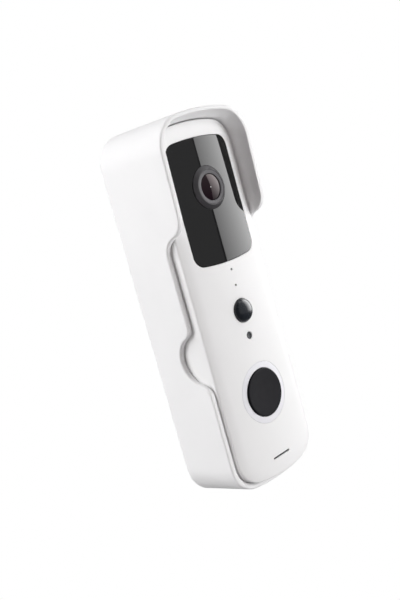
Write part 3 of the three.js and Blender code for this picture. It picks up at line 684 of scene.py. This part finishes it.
def side_rim():
    """The rim along a side as (z, y), from the lower corner up to the upper corner."""
    mid_y = HOOD_Y + 2 * STEP_RADIUS * (1 - cos(STEP_TURN))
    step_start = HOOD_END_Z - 2 * STEP_RADIUS * sin(STEP_TURN)
    notch_y = (mid_y + LOWER_RIM_Y) / 2
    reach = NOTCH_RADIUS + NOTCH_FILLET
    low_fillet_y = LOWER_RIM_Y + NOTCH_FILLET
    high_fillet_y = mid_y + NOTCH_FILLET
    low_tilt = asin((low_fillet_y - notch_y) / reach)
    high_tilt = asin((high_fillet_y - notch_y) / reach)
    low_z = NOTCH_Z - reach * cos(low_tilt)
    high_z = NOTCH_Z + reach * cos(high_tilt)
    rim = []

    def straight(start, end, steps, y_start, y_end):
        for step in range(steps):
            share = step / steps
            rim.append((start + (end - start) * share, y_start + (y_end - y_start) * share))

    def curve(*shape):
        rim.extend((z, y) for y, z, *_ in arc(*shape))

    straight(COVER.low + 1.5, low_z, 9, LOWER_RIM_Y, LOWER_RIM_Y)
    curve(low_fillet_y, low_z, NOTCH_FILLET, 2 * QUARTER, QUARTER + low_tilt, 10)
    curve(notch_y, NOTCH_Z, NOTCH_RADIUS, low_tilt - QUARTER, QUARTER - high_tilt, 40)
    curve(high_fillet_y, high_z, NOTCH_FILLET, -QUARTER - high_tilt, -2 * QUARTER, 10)
    straight(high_z, step_start, 9, mid_y, mid_y)
    curve(mid_y - STEP_RADIUS, step_start, STEP_RADIUS, 0, STEP_TURN, 14)
    curve(HOOD_Y + STEP_RADIUS, HOOD_END_Z, STEP_RADIUS, 2 * QUARTER + STEP_TURN, 2 * QUARTER, 14)
    straight(HOOD_END_Z, COVER.high - 1.0, 8, HOOD_Y, hood_rim_y(COVER.high - 1.0))
    return rim


def hood_rim_y(z):
    """The hood's rim leans forward a little towards the top."""
    share = (z - HOOD_END_Z) / (COVER.top + 4 - HOOD_END_Z)
    return HOOD_Y + (HOOD_TOP_Y - HOOD_Y) * share


def cover_rim():
    """The whole rim as (x, z, normal x, normal z, y)."""
    side_y = dict(side_rim())
    found = []
    for x, z, nx, nz in COVER.points(side_heights=list(side_y)):
        end_y = hood_rim_y(z) if z > 0 else LOWER_RIM_Y
        found.append((x, z, nx, nz, side_y.get(z, end_y)))
    return found


def rim_width(nz):
    """The rim is widest at the sides, narrower over the hood and at the bottom."""
    narrowing = 0.6 if nz > 0 else 0.55
    return 2.15 - narrowing * nz ** 2


def draft(nz, y):
    """How far the bottom wall's outside has drawn in at a depth y."""
    share = (COVER_BACK_Y - y) / (COVER_BACK_Y - LOWER_RIM_Y)
    return DRAFT * share * nz ** 2 if nz < 0 else 0.0


def back_edge_y(x, z):
    """The back edge, stepped forward round the bracket's lip."""
    half, front = LIP_NOTCH
    return front if abs(x) < half and z < COVER.low else COVER_BACK_Y


def cover_section(spot, bore, along):
    """One slice through the cover's wall, from its back edge over the rim to the bore. Spot
    is a place on the rim, bore the place behind it on the inner wall, and along the rim's
    direction there, as (run round the outline, rise in y)."""
    x, z, nx, nz, rim_y = spot
    run, rise = along
    back_y = back_edge_y(x, z)
    hooded = rim_y < FACE_Y - 1.0
    section = []

    def outside(forward, inward, y=None):
        """A place moved off the rim: forward, away from the wall, and inward."""
        y = rim_y - run * forward if y is None else y
        slide = rise * forward
        depth = inward + draft(nz, y)
        section.append((x - nz * slide - nx * depth, y, z + nx * slide - nz * depth))

    def inside_wall(share, y):
        """A place between the rim's inner edge and the bore."""
        slide = -rise * OUTER_ROUND
        depth = rim_width(nz) + draft(nz, rim_y)
        edge_x, edge_z = x - nx * depth, z - nz * depth
        px = edge_x + (bore[0] - edge_x) * share
        pz = edge_z + (bore[1] - edge_z) * share
        section.append((px - nz * slide, y, pz + nx * slide))

    back_round = 0.5
    for angle in quarter_turn(3):
        outside(-OUTER_ROUND, back_round * (1 - sin(angle)), back_y - back_round * (1 - cos(angle)))
    wall_front = rim_y + run * OUTER_ROUND
    wall_back = back_y - back_round
    for share in (0.2, 0.4, 0.6, 0.8):
        outside(-OUTER_ROUND, 0, wall_back + (wall_front - wall_back) * share)
    for angle in quarter_turn(5):
        outside(OUTER_ROUND * (sin(angle) - 1), OUTER_ROUND * (1 - cos(angle)))
    for angle in quarter_turn(5):
        outside(INNER_ROUND * (cos(angle) - 1), rim_width(nz) - INNER_ROUND * (1 - sin(angle)))
    inner_y = rim_y + run * INNER_ROUND
    shoulder = FACE_Y - 0.3 if hooded else inner_y + 0.45
    for share in (0.25, 0.5, 0.75, 1.0):
        inside_wall(share, inner_y + (shoulder - inner_y) * share)
    for share in (0.35, 0.7, 1.0):
        inside_wall(1.0, shoulder + (back_y - 0.3 - shoulder) * share)
    inside_wall(0.85, back_y)
    return section


def cover_bore(side_heights):
    """The inner wall as (x, z). It hugs the housing's sides and leaves a wider gap above it
    and below it."""
    bore = []
    for x, z, nx, nz in BODY.points(-BORE_GAP, side_heights=side_heights):
        extra = END_GAP * abs(nz) ** 0.5
        bore.append((x + nx * extra, z + nz * extra))
    return bore


def rain_cover():
    surface = Surface()
    rim = cover_rim()
    bores = cover_bore([z for z, _ in side_rim()])
    sections = []
    for before, spot, after, bore in zip(rim[-1:] + rim[:-1], rim, rolled(rim), bores):
        _, _, nx, nz, _ = spot
        run = (after[0] - before[0]) * -nz + (after[1] - before[1]) * nx
        rise = after[4] - before[4]
        length = hypot(run, rise)
        sections.append(cover_section(spot, bore, (run / length, rise / length)))
    surface.hoop([surface.loose_ring(row) for row in zip(*sections)])
    make_piece(surface, "cover_shell", COVER_WHITE, "rain_cover", body="cover")


# ---------------- front housing

CREASE_RADIUS = 0.8       # rounding between the face and the side wall
FACE_OPENINGS = (         # holes through the face, each with the rounding of its lip
    (MICROPHONE_HOLE, 0.07),
    (STATUS_HOLE, 0.07),
    (circle(4.55, PIR_Z), 0.12),
    (circle(1.42, LIGHT_SENSOR_Z, steps=32), 0.12),
    (circle(11.56, BUTTON_Z, steps=96), 0.1),
    (SPEAKER_SLOT, 0.12),
)


def crease():
    """The face's last millimetres as (inset, fall behind the barrel), down to the side wall."""
    steps = 6
    start = CREASE_RADIUS * (1 - EDGE_START / EDGE_RADIUS) / (1 - CREASE_RADIUS / EDGE_RADIUS)
    slope = asin((EDGE_START - start) / EDGE_RADIUS)
    insets = [EDGE_START + (start - EDGE_START) * step / steps for step in range(steps + 1)]
    profile = [(inset, edge_fall(inset)) for inset in insets]
    middle = edge_fall(start) + CREASE_RADIUS * cos(slope)
    for step in range(1, steps + 1):
        angle = slope + (QUARTER - slope) * step / steps
        profile.append((CREASE_RADIUS * (1 - sin(angle)), middle - CREASE_RADIUS * cos(angle)))
    return profile


def front_housing():
    surface = Surface()
    inner_y = INNER_Y + 0.1
    walls = (
        (0.0, (INNER_Y + SPLIT_Y) / 2), (0.0, SPLIT_Y - 0.3), (0.1, SPLIT_Y - 0.08),
        (0.3, SPLIT_Y), (WALL - 0.2, SPLIT_Y), (WALL, SPLIT_Y - 0.2),
        (WALL, INNER_Y + 3.0), (WALL + 0.3, INNER_Y + 1.0),
        (WALL + 2.0, INNER_Y + 0.4), (WALL + 3.0, inner_y),
    )
    face_ring = surface.ring(BODY.points(EDGE_START + 0.2), face_y)
    last = surface.chain(
        face_ring,
        *((BODY.points(inset), sunk(barrel_y, fall)) for inset, fall in crease()),
        *((BODY.points(inset), y) for inset, y in walls),
    )
    fronts = []
    backs = []
    for outline, fillet in FACE_OPENINGS:
        front, back = collar(surface, outline, face_y, fillet, inner_y)
        fronts.append(front)
        backs.append(back)
    pocket_y = FACE_Y + 2.7
    front, ledge = collar(surface, offset(WINDOW.points(), 0.06), face_y, 0.1, pocket_y)
    fronts.append(front)
    opening = WINDOW_OPENING.points()
    backs.append(surface.chain(ledge, (opening, pocket_y), (opening, inner_y)))
    surface.sheet(face_ring, fronts, face_y, spacing=2.0)
    surface.sheet(last, backs, inner_y, spacing=6.0)
    make_piece(surface, "front_shell", SHELL_WHITE, "front_housing", skin=face_y)


def housing_seal():
    surface = Surface()
    section = (
        (0.25, 0.1), (0.05, 0.4), (0.05, 1.0), (0.25, 1.3), (WALL - 0.1, 1.3), (WALL - 0.1, 0.1)
    )
    surface.hoop([surface.ring(BODY.points(inset), SPLIT_Y + back) for inset, back in section])
    make_piece(surface, "housing_seal", SOFT_RUBBER, "housing_gasket")


# ---------------- camera

BEZEL_RADIUS = 7.85      # foot of the raised cone round the lens
BEZEL_FRONT_Y = FACE_Y - 1.15
LENS_SEAT = 4.9          # radius of the hole the lens sits in
MOUTH_Y = FACE_Y + 2.6   # the barrel's mouth and floor
FLOOR_Y = MOUTH_Y + 2.4


def window_y(x, z):
    """The window stands a hair proud of the face."""
    return face_y(x, z) - 0.03


def camera_window():
    surface = Surface()
    back_y = FACE_Y + 2.6
    glass = WINDOW.points(arch_steps=30)
    front, back = collar(surface, glass, window_y, -0.22, back_y, steps=5)
    hole = circle(BEZEL_RADIUS + 0.06, LENS_Z, steps=96)
    hole_front, hole_back = collar(surface, hole, window_y, 0.06, back_y)
    surface.sheet(front, [hole_front], window_y, spacing=1.5)
    surface.sheet(back, [hole_back], back_y, spacing=6.0)
    make_piece(surface, "window_panel", WINDOW_BLACK, "camera_window", skin=window_y)


def lens_bezel():
    profile = rounded([
        (6.17, FACE_Y + 3.7), (6.17, BEZEL_FRONT_Y, 0.08), (6.5, BEZEL_FRONT_Y, 0.22),
        (BEZEL_RADIUS, FACE_Y - 0.12, 0.25), (BEZEL_RADIUS, FACE_Y + 1.9),
        (9.1, FACE_Y + 2.9), (9.1, FACE_Y + 3.7),
    ])
    make_piece(turn(profile, LENS_Z, steps=128), "bezel_ring", BEZEL_GREY, "lens_bezel")


def lens_cone():
    """The grey ring between the bezel and the lens."""
    profile = rounded([
        (6.12, FACE_Y + 3.4), (6.12, BEZEL_FRONT_Y + 0.02, 0.08),
        (LENS_SEAT, BEZEL_FRONT_Y + 0.16, 0.12), (LENS_SEAT, FACE_Y + 3.4),
    ])
    make_piece(turn(profile, LENS_Z, steps=128), "lens_funnel", CONE_GREY, "lens_cone")


def lens_glass():
    """The front element, whose front is a shallow cap of a sphere."""
    radius = LENS_SEAT - 0.25
    rise = 0.4
    sphere = (radius ** 2 + rise ** 2) / (2 * rise)
    edge = asin(radius / sphere)
    rim_y = FACE_Y - 0.7
    back_y = rim_y + 1.4
    profile = [(0.0, back_y), (radius, back_y)]
    steps = 14
    for step in range(steps):
        angle = edge * (1 - step / steps)
        proud = sphere * (cos(angle) - cos(edge))
        profile.append((sphere * sin(angle), rim_y - proud))
    profile.append((0.0, rim_y - rise))
    make_piece(turn(profile, LENS_Z, steps=96), "front_element", LENS_GLASS, "lens_glass")


def lens_barrel():
    """The stepped black barrel behind the front element."""
    tail_y = -13.2
    shoulder_y = -20.0
    profile = [
        (0.0, tail_y), (4.4, tail_y), (4.4, shoulder_y), (6.0, shoulder_y - 0.2),
        (6.0, FACE_Y + 3.8), (4.8, FACE_Y + 3.7), (4.8, MOUTH_Y), (4.6, MOUTH_Y),
        (4.2, MOUTH_Y + 0.5), (4.2, MOUTH_Y + 0.9),
        (3.5, MOUTH_Y + 1.2), (3.5, MOUTH_Y + 1.6),
        (2.7, MOUTH_Y + 1.9), (2.7, MOUTH_Y + 2.3),
        (2.2, FLOOR_Y), (0.0, FLOOR_Y),
    ]
    make_piece(turn(profile, LENS_Z), "lens_stack", BARREL_BLACK, "lens_barrel")


def inner_element():
    """The small domed element on the barrel's floor."""
    base_y = FLOOR_Y - 0.05
    profile = [(0.0, base_y), *dome(2.1, 1.0, base_y - 0.1, steps=8)]
    dome_piece = turn(profile, LENS_Z, steps=48)
    make_piece(dome_piece, "inner_element", DOME_BLACK, "lens_barrel", slot="dome_black")


# ---------------- sensors on the face

def pir_dome():
    """A thin dome with a flange behind the wall."""
    radius = 4.43
    height = 2.7
    skin = 0.7
    flange = radius + 1.3
    flange_front = INNER_Y + 0.3
    flange_back = INNER_Y + 1.1
    profile = [
        (radius - skin, flange_back), (flange, flange_back),
        (flange, flange_front), (radius, flange_front),
        *dome(radius, height, FACE_Y, steps=16),
        *reversed(dome(radius - skin, height - skin, FACE_Y, steps=16)),
    ]
    make_piece(turn(profile, PIR_Z), "motion_dome", DOME_BLACK, "pir_dome")


def light_sensor_window():
    profile = rounded([
        (0.0, INNER_Y + 1.0), (2.2, INNER_Y + 1.0), (2.2, INNER_Y + 0.3),
        (1.32, INNER_Y + 0.3), (1.32, FACE_Y + 0.12, 0.12), (1.05, FACE_Y + 0.12),
        (0.0, FACE_Y + 0.3),
    ])
    lens = turn(profile, LIGHT_SENSOR_Z, steps=40)
    make_piece(lens, "light_sensor_lens", DOME_BLACK, "light_sensor_window")


# ---------------- call button

def button_ring():
    """The light guide round the button. Its front follows the bowed face."""
    front = (
        (11.5, 0.12), (11.46, 0.05), (11.36, 0.0), (10.4, 0.0), (9.35, 0.0), (9.2, 0.05),
        (9.12, 0.2),
    )
    profile = [
        (10.3, INNER_Y + 1.1), (12.8, INNER_Y + 1.1),
        (12.8, INNER_Y + 0.3), (11.5, INNER_Y + 0.3),
        *((radius, sunk(face_y, depth)) for radius, depth in front),
        (9.12, FACE_Y + 1.8), (10.3, FACE_Y + 1.8),
    ]
    ring = turn(profile, BUTTON_Z, steps=128)
    make_piece(ring, "light_ring", RING_WHITE, "button_ring", skin=face_y)


def button_cap():
    """The call button, slightly dished, with a flange behind the light guide's ledge."""
    front_y = FACE_Y - 0.35
    stem_y = -25.3
    profile = rounded([
        (0.0, stem_y), (1.6, stem_y), (1.6, FACE_Y + 2.7), (9.9, FACE_Y + 2.7),
        (9.9, FACE_Y + 1.9), (9.0, FACE_Y + 1.9), (9.0, front_y, 0.35), (8.2, front_y + 0.01),
        (6.5, front_y + 0.09), (4.0, front_y + 0.17), (2.0, front_y + 0.2), (0.0, front_y + 0.21),
    ])
    cap = turn(profile, BUTTON_Z, steps=128)
    make_piece(cap, "call_button", BUTTON_BLACK, "button_cap", body="button")


# ---------------- back and bottom

def socket_screw(head, shank, length, drive):
    """A screw along y with its head at y = 0 facing +y, and a six-sided socket."""
    surface = Surface()
    head_height = 1.7
    pitch = 0.25
    side = pi / 3
    hexagon = []
    for _, _, nx, nz in circle(1.0, 0.0):
        swing = (atan2(nz, nx) + side / 2) % side - side / 2
        reach = drive / cos(swing)
        hexagon.append((reach * nx, reach * nz, nx, nz))
    top = surface.ring(circle(head - 0.45, 0.0), 0.0)
    floor = surface.chain(top, (offset(hexagon, 0.08), 0.0), (hexagon, -0.1), (hexagon, -1.1))
    surface.tip(floor, (0.0, -1.35, 0.0))
    profile = [
        (head - 0.15, -0.1), (head, -0.4), (head, -head_height), (shank, -head_height - 0.05)
    ]
    for step in range(int((length - head_height - 1.0) / pitch)):
        crest = shank if step % 2 else shank - 0.18
        profile.append((crest, -head_height - 0.3 - step * pitch))
    last = surface.chain(top, *((circle(radius, 0.0), y) for radius, y in profile))
    surface.tip(last, (0.0, -length, 0.0))
    return surface


def case_screws():
    for number in range(1, 5):
        node = f"case_screw_{number}"
        low, high = low_high(node)
        x, _, z = centre(node)
        screw = socket_screw(head=2.5, shank=1.2, length=high.y - low.y, drive=1.0)
        move = Matrix.Translation(Vector((x, high.y, z)) * MM)
        make_piece(screw, f"housing_screw_{number}", SCREW_STEEL, node, move=move)


def lock_screw():
    low, high = low_high("lock_screw")
    screw = socket_screw(head=2.7, shank=1.5, length=high.z - low.z, drive=1.25)
    spot = Vector((0, centre("lock_screw")[1], low.z)) * MM
    move = Matrix.Translation(spot) @ Matrix.Rotation(-QUARTER, 4, "X")
    make_piece(screw, "locking_screw", SCREW_STEEL, "lock_screw", body="lock_screw", move=move)


def usb_plug():
    """The charging socket's plug: a dished cover with a nose that fills the socket."""
    low, high = low_high("usb_plug")
    x, _, z = centre("usb_plug")
    surface = Surface()
    plate = stadium((high.x - low.x) / 2, (high.z - low.z) / 2, z, x)
    nose = stadium(3.6, 0.9, z, x)
    dish = surface.ring(offset(plate, -1.6), high.y - 0.35)
    surface.tip(dish, (x, high.y - 0.4, z))
    cover = (
        (1.3, 0.25), (1.0, 0.05), (0.8, 0.0), (0.35, 0.0), (0.1, 0.1), (0.0, 0.35), (0.0, 1.2)
    )
    last = surface.chain(
        dish,
        *((offset(plate, -inset), high.y - depth) for inset, depth in cover),
        (nose, high.y - 1.2),
        (nose, low.y + 0.3),
        (offset(nose, -0.3), low.y),
    )
    surface.tip(last, (x, low.y, z))
    make_piece(surface, "charging_plug", WHITE_RUBBER, "usb_plug", body="usb_plug")


def reset_button():
    low, high = low_high("reset_button")
    x, _, z = centre("reset_button")
    profile = rounded([
        (0.0, low.y), (2.3, low.y), (2.3, low.y + 0.9), (1.6, low.y + 0.9),
        (1.6, high.y, 0.3), (0.8, high.y - 0.05), (0.0, high.y - 0.12),
    ])
    key = turn(profile, z, x, steps=40)
    make_piece(key, "reset_key", WHITE_RUBBER, "reset_button", body="reset_button")


def plugged_hole(name, material, node, hole, foot_width, front_y, back_y):
    """A piece whose nose stands in a hole of the face, with a wider foot behind the wall."""
    surface = Surface()
    nose = offset(hole, -0.03)
    foot = offset(hole, foot_width)
    foot_y = INNER_Y + 0.3
    heights = [z for _, z, *_ in hole]
    middle = (min(heights) + max(heights)) / 2
    front = surface.ring(offset(nose, -0.05), front_y)
    surface.tip(front, (0.0, front_y + 0.02, middle))
    last = surface.chain(
        front, (nose, front_y + 0.06), (nose, foot_y), (foot, foot_y), (foot, back_y)
    )
    surface.tip(last, (0.0, back_y, middle))
    make_piece(surface, name, material, node)


def face_seals():
    """The dark plugs seen in the speaker slot and the two pinholes."""
    hole_y, slot_y = FACE_Y + 0.3, FACE_Y + 0.4
    back_y = INNER_Y + 1.0
    pipe_y = low_high("status_light_pipe")[1].y
    for row in (
        ("speaker_seal", SOFT_RUBBER, "speaker_gasket", SPEAKER_SLOT, 0.8, slot_y, back_y),
        ("microphone_seal", SOFT_RUBBER, "microphone_gasket", MICROPHONE_HOLE, 1.15, hole_y, back_y),
        ("status_lens", SMOKED_PLASTIC, "status_light_pipe", STATUS_HOLE, 0.65, hole_y, pipe_y),
    ):
        plugged_hole(*row)


def softened_nodes():
    """CAD shapes that only need their edges rounded."""
    softened("rear_housing", "rear_shell", SHELL_WHITE, 0.4)
    softened("wall_bracket", "wall_plate", BRACKET_WHITE, 0.35, body="bracket")
    for row in (
        ("camera_holder", "camera_mount", CHIP_BLACK, 0.2),
        ("sensor_board", "image_board", GREEN_BOARD, 0.08),
        ("infrared_board", "lamp_board", GREEN_BOARD, 0.08),
        ("main_board", "logic_board", GREEN_BOARD, 0.1),
        ("charging_board", "power_board", GREEN_BOARD, 0.08),
        ("radio_module", "radio_can", SENSOR_CAN, 0.25),
        ("processor", "processor_chip", CHIP_BLACK, 0.12),
        ("battery_pack", "battery_cell", BATTERY_WRAP, 0.8),
        ("switch_body", "switch_case", CHIP_BLACK, 0.2),
        ("reset_switch", "reset_case", CHIP_BLACK, 0.15),
        ("light_sensor", "light_cell", CLEAR_PLASTIC, 0.12),
        ("microphone", "microphone_can", SENSOR_CAN, 0.12),
        ("status_led", "status_lamp", CLEAR_PLASTIC, 0.1),
    ):
        softened(*row)


def carried_nodes():
    """CAD shapes that stay as they are and only get their material."""
    for material, nodes in (
        (SENSOR_CAN, ["pir_sensor", "usb_socket"]),
        (CLEAR_PLASTIC, [f"infrared_led_{n}" for n in range(1, 5)]),
        (WHITE_RUBBER, ["button_return_pad"]),
        (CHIP_BLACK, ["switch_plunger", "speaker_frame"]),
        (BARREL_BLACK, ["speaker_cone"]),
    ):
        for node in nodes:
            mesh = frame["nodes"][node].data
            mesh.materials.clear()
            mesh.materials.append(material)


# ---------------- stage

def camera():
    """The camera, 328 mm in front and to the left, a little above, and rolled."""
    data = bpy.data.cameras.new("camera")
    data.sensor_width = 36.0
    data.lens = 50.57
    data.clip_start = 0.01
    right = Vector((0.67884, -0.68426, -0.26641))
    up = Vector((0.28387, -0.09005, 0.95463))
    back = Vector((-0.67720, -0.72366, 0.13310))
    holder = new_object("camera", data)
    turn_matrix = Matrix((right, up, back)).transposed().to_4x4()
    holder.matrix_world = Matrix.Translation(Vector((-218.04, -240.95, 44.91)) * MM) @ turn_matrix
    bpy.context.scene.camera = holder


def softbox(
    name, aim, azimuths, elevations, distance, radiance, ramp=None, glossy=True, diffuse=True,
    tint=(1, 1, 1),
):
    """A rectangular lamp that faces the point aim and fills a span of azimuths and elevations
    seen from there. Azimuth 0 is in front of the face, 90 on the viewer's right. A ramp (start,
    share, feather, foot) goes from start at one upright edge to full over that share of the
    width, fades the top and the far side over the feather, and the bottom over the foot."""
    low_az, high_az = (radians(a) for a in azimuths)
    low_el, high_el = (radians(e) for e in elevations)
    azimuth, elevation = (low_az + high_az) / 2, (low_el + high_el) / 2
    away = Vector((
        sin(azimuth) * cos(elevation),
        -cos(azimuth) * cos(elevation),
        sin(elevation),
    ))
    data = bpy.data.lights.new(name, "AREA")
    data.shape = "RECTANGLE"
    data.size = 2 * distance * tan((high_az - low_az) / 2)
    data.size_y = 2 * distance * tan((high_el - low_el) / 2)
    data.energy = radiance * pi * data.size * data.size_y
    data.color = tint
    if ramp is not None:
        cloth(data, *ramp)
    lamp = new_object(name, data)
    lamp.location = Vector(aim) * MM + away * distance
    lamp.rotation_euler = away.to_track_quat("Z", "Y").to_euler()
    lamp.visible_camera = False
    lamp.visible_glossy = glossy
    lamp.visible_diffuse = diffuse


def cloth(data, start, share, feather, foot):
    """Shades a lamp's face as the cloth of a softbox does."""
    tree = Tree(data)
    place = tree.split(tree.add("NewGeometry").outputs["Parametric"])
    level = tree.spread(place["X"], start, 1.0, 0.0, share)
    far = 1.0 - feather
    for axis, low, high in (("Y", 0.0, foot), ("Y", 1.0, far), ("X", 1.0, far)):
        fade = tree.spread(place[axis], 0.0, 1.0, low, high, kind="SMOOTHSTEP")
        level = tree.math("MULTIPLY", level, fade)
    tree.links.new(level, tree.nodes["Emission"].inputs["Strength"])


def lights():
    """Three softboxes that only show in glossy parts, fills that light the face, the sides and
    the top, and a small lamp under the hood for the light that the face throws up there."""
    reflected = (-1.35, FACE_Y, LENS_Z)
    middle = (0.0, -15.0, 0.0)
    for *row, ramp in (
        ("key_sheen", reflected, (44.2, 94), (-40, 52), 1.3, 8.5, (0.35, 0.62, 0.2, 0.5)),
        ("left_sheen", reflected, (-30, 44.0), (-50, 50), 0.9, 0.3, (2.0, 1.0, 0.02, 0.02)),
        ("top_sheen", middle, (20, 42), (58, 75), 1.2, 5.0, (1, 1, 0.3, 0.3)),
    ):
        softbox(*row, ramp=ramp, diffuse=False)
    white = (1, 1, 1)
    warm = (1, 0.9, 0.88)
    for *row, tint in (
        ("front_right", middle, (15, 44), (-16, 36), 1.0, 4.6, white),
        ("front_low", middle, (15, 44), (-48, -16), 0.5, 1.8, white),
        ("right", middle, (44, 94), (-16, 70), 0.8, 0.3, white),
        ("right_low", middle, (44, 94), (-48, -16), 0.5, 0.6, white),
        ("front_left", middle, (-60, -15), (-16, 36), 1.0, 0.6, warm),
        ("back_left", middle, (-140, -98), (-5, 55), 1.0, 4.3, white),
        ("back_right", middle, (98, 140), (-45, 55), 1.0, 0.6, white),
        ("back_high", middle, (150, 210), (50, 85), 1.0, 1.2, white),
        ("left_high", (-23, -12, 60), (-115, -85), (0, 30), 0.09, 0.8, white),
        ("hood_glow", (8, -31, 62), (-90, -65), (-60, -30), 0.03, 0.5, (1, 0.93, 0.91)),
    ):
        softbox(*row, glossy=False, tint=tint)


AMBIENT = 0.03    # light from all around
BACKDROP = (("Is Glossy Ray", 0.16), ("Is Camera Ray", 1.0))


def seen_as(tree, kind, level, glows):
    """Shows a plain glow in place of level to each kind of ray listed with a strength."""
    rays = tree.add("LightPath").outputs
    for ray, strength in glows:
        glow = tree.add(kind, Color=(1, 1, 1, 1), Strength=strength)
        mix = tree.add("MixShader")
        for socket, value in enumerate((rays[ray], level, glow.outputs[0])):
            tree.links.new(value, mix.inputs[socket])
        level = mix.outputs[0]
    return level


def world():
    """A white backdrop for the eye, and softer greys for reflections and for the light."""
    made = bpy.data.worlds.new("studio")
    tree = Tree(made)
    tree.nodes.clear()
    ambient = tree.add("Background", Color=(1, 1, 1, 1), Strength=AMBIENT)
    level = seen_as(tree, "Background", ambient.outputs[0], BACKDROP)
    tree.links.new(level, tree.add("OutputWorld").inputs["Surface"])
    bpy.context.scene.world = made


def floor():
    """A plain pale floor well below the hung doorbell. It shows the same white as the
    backdrop, and gives back less light than it shows."""
    mesh = bpy.data.meshes.new("floor")
    size = 30.0
    z = -0.4
    corners = [(-size, -size, z), (size, -size, z), (size, size, z), (-size, size, z)]
    mesh.from_pydata(corners, [], [(0, 1, 2, 3)])
    made = Shader("floor_white", (0.4, 0.4, 0.4), 0.9, gloss=0.0)
    level = seen_as(made, "Emission", made.shader.outputs[0], BACKDROP)
    made.links.new(level, made.nodes["Material Output"].inputs["Surface"])
    mesh.materials.append(made.material)
    new_object("floor", mesh)


bpy.context.scene.view_settings.view_transform = "Standard"

for build in (
    camera, world, lights, floor,
    rain_cover, front_housing, housing_seal,
    camera_window, lens_bezel, lens_cone, lens_glass, lens_barrel, inner_element,
    pir_dome, light_sensor_window, button_ring, button_cap,
    case_screws, lock_screw, usb_plug, reset_button, face_seals,
    softened_nodes, carried_nodes,
):
    build()
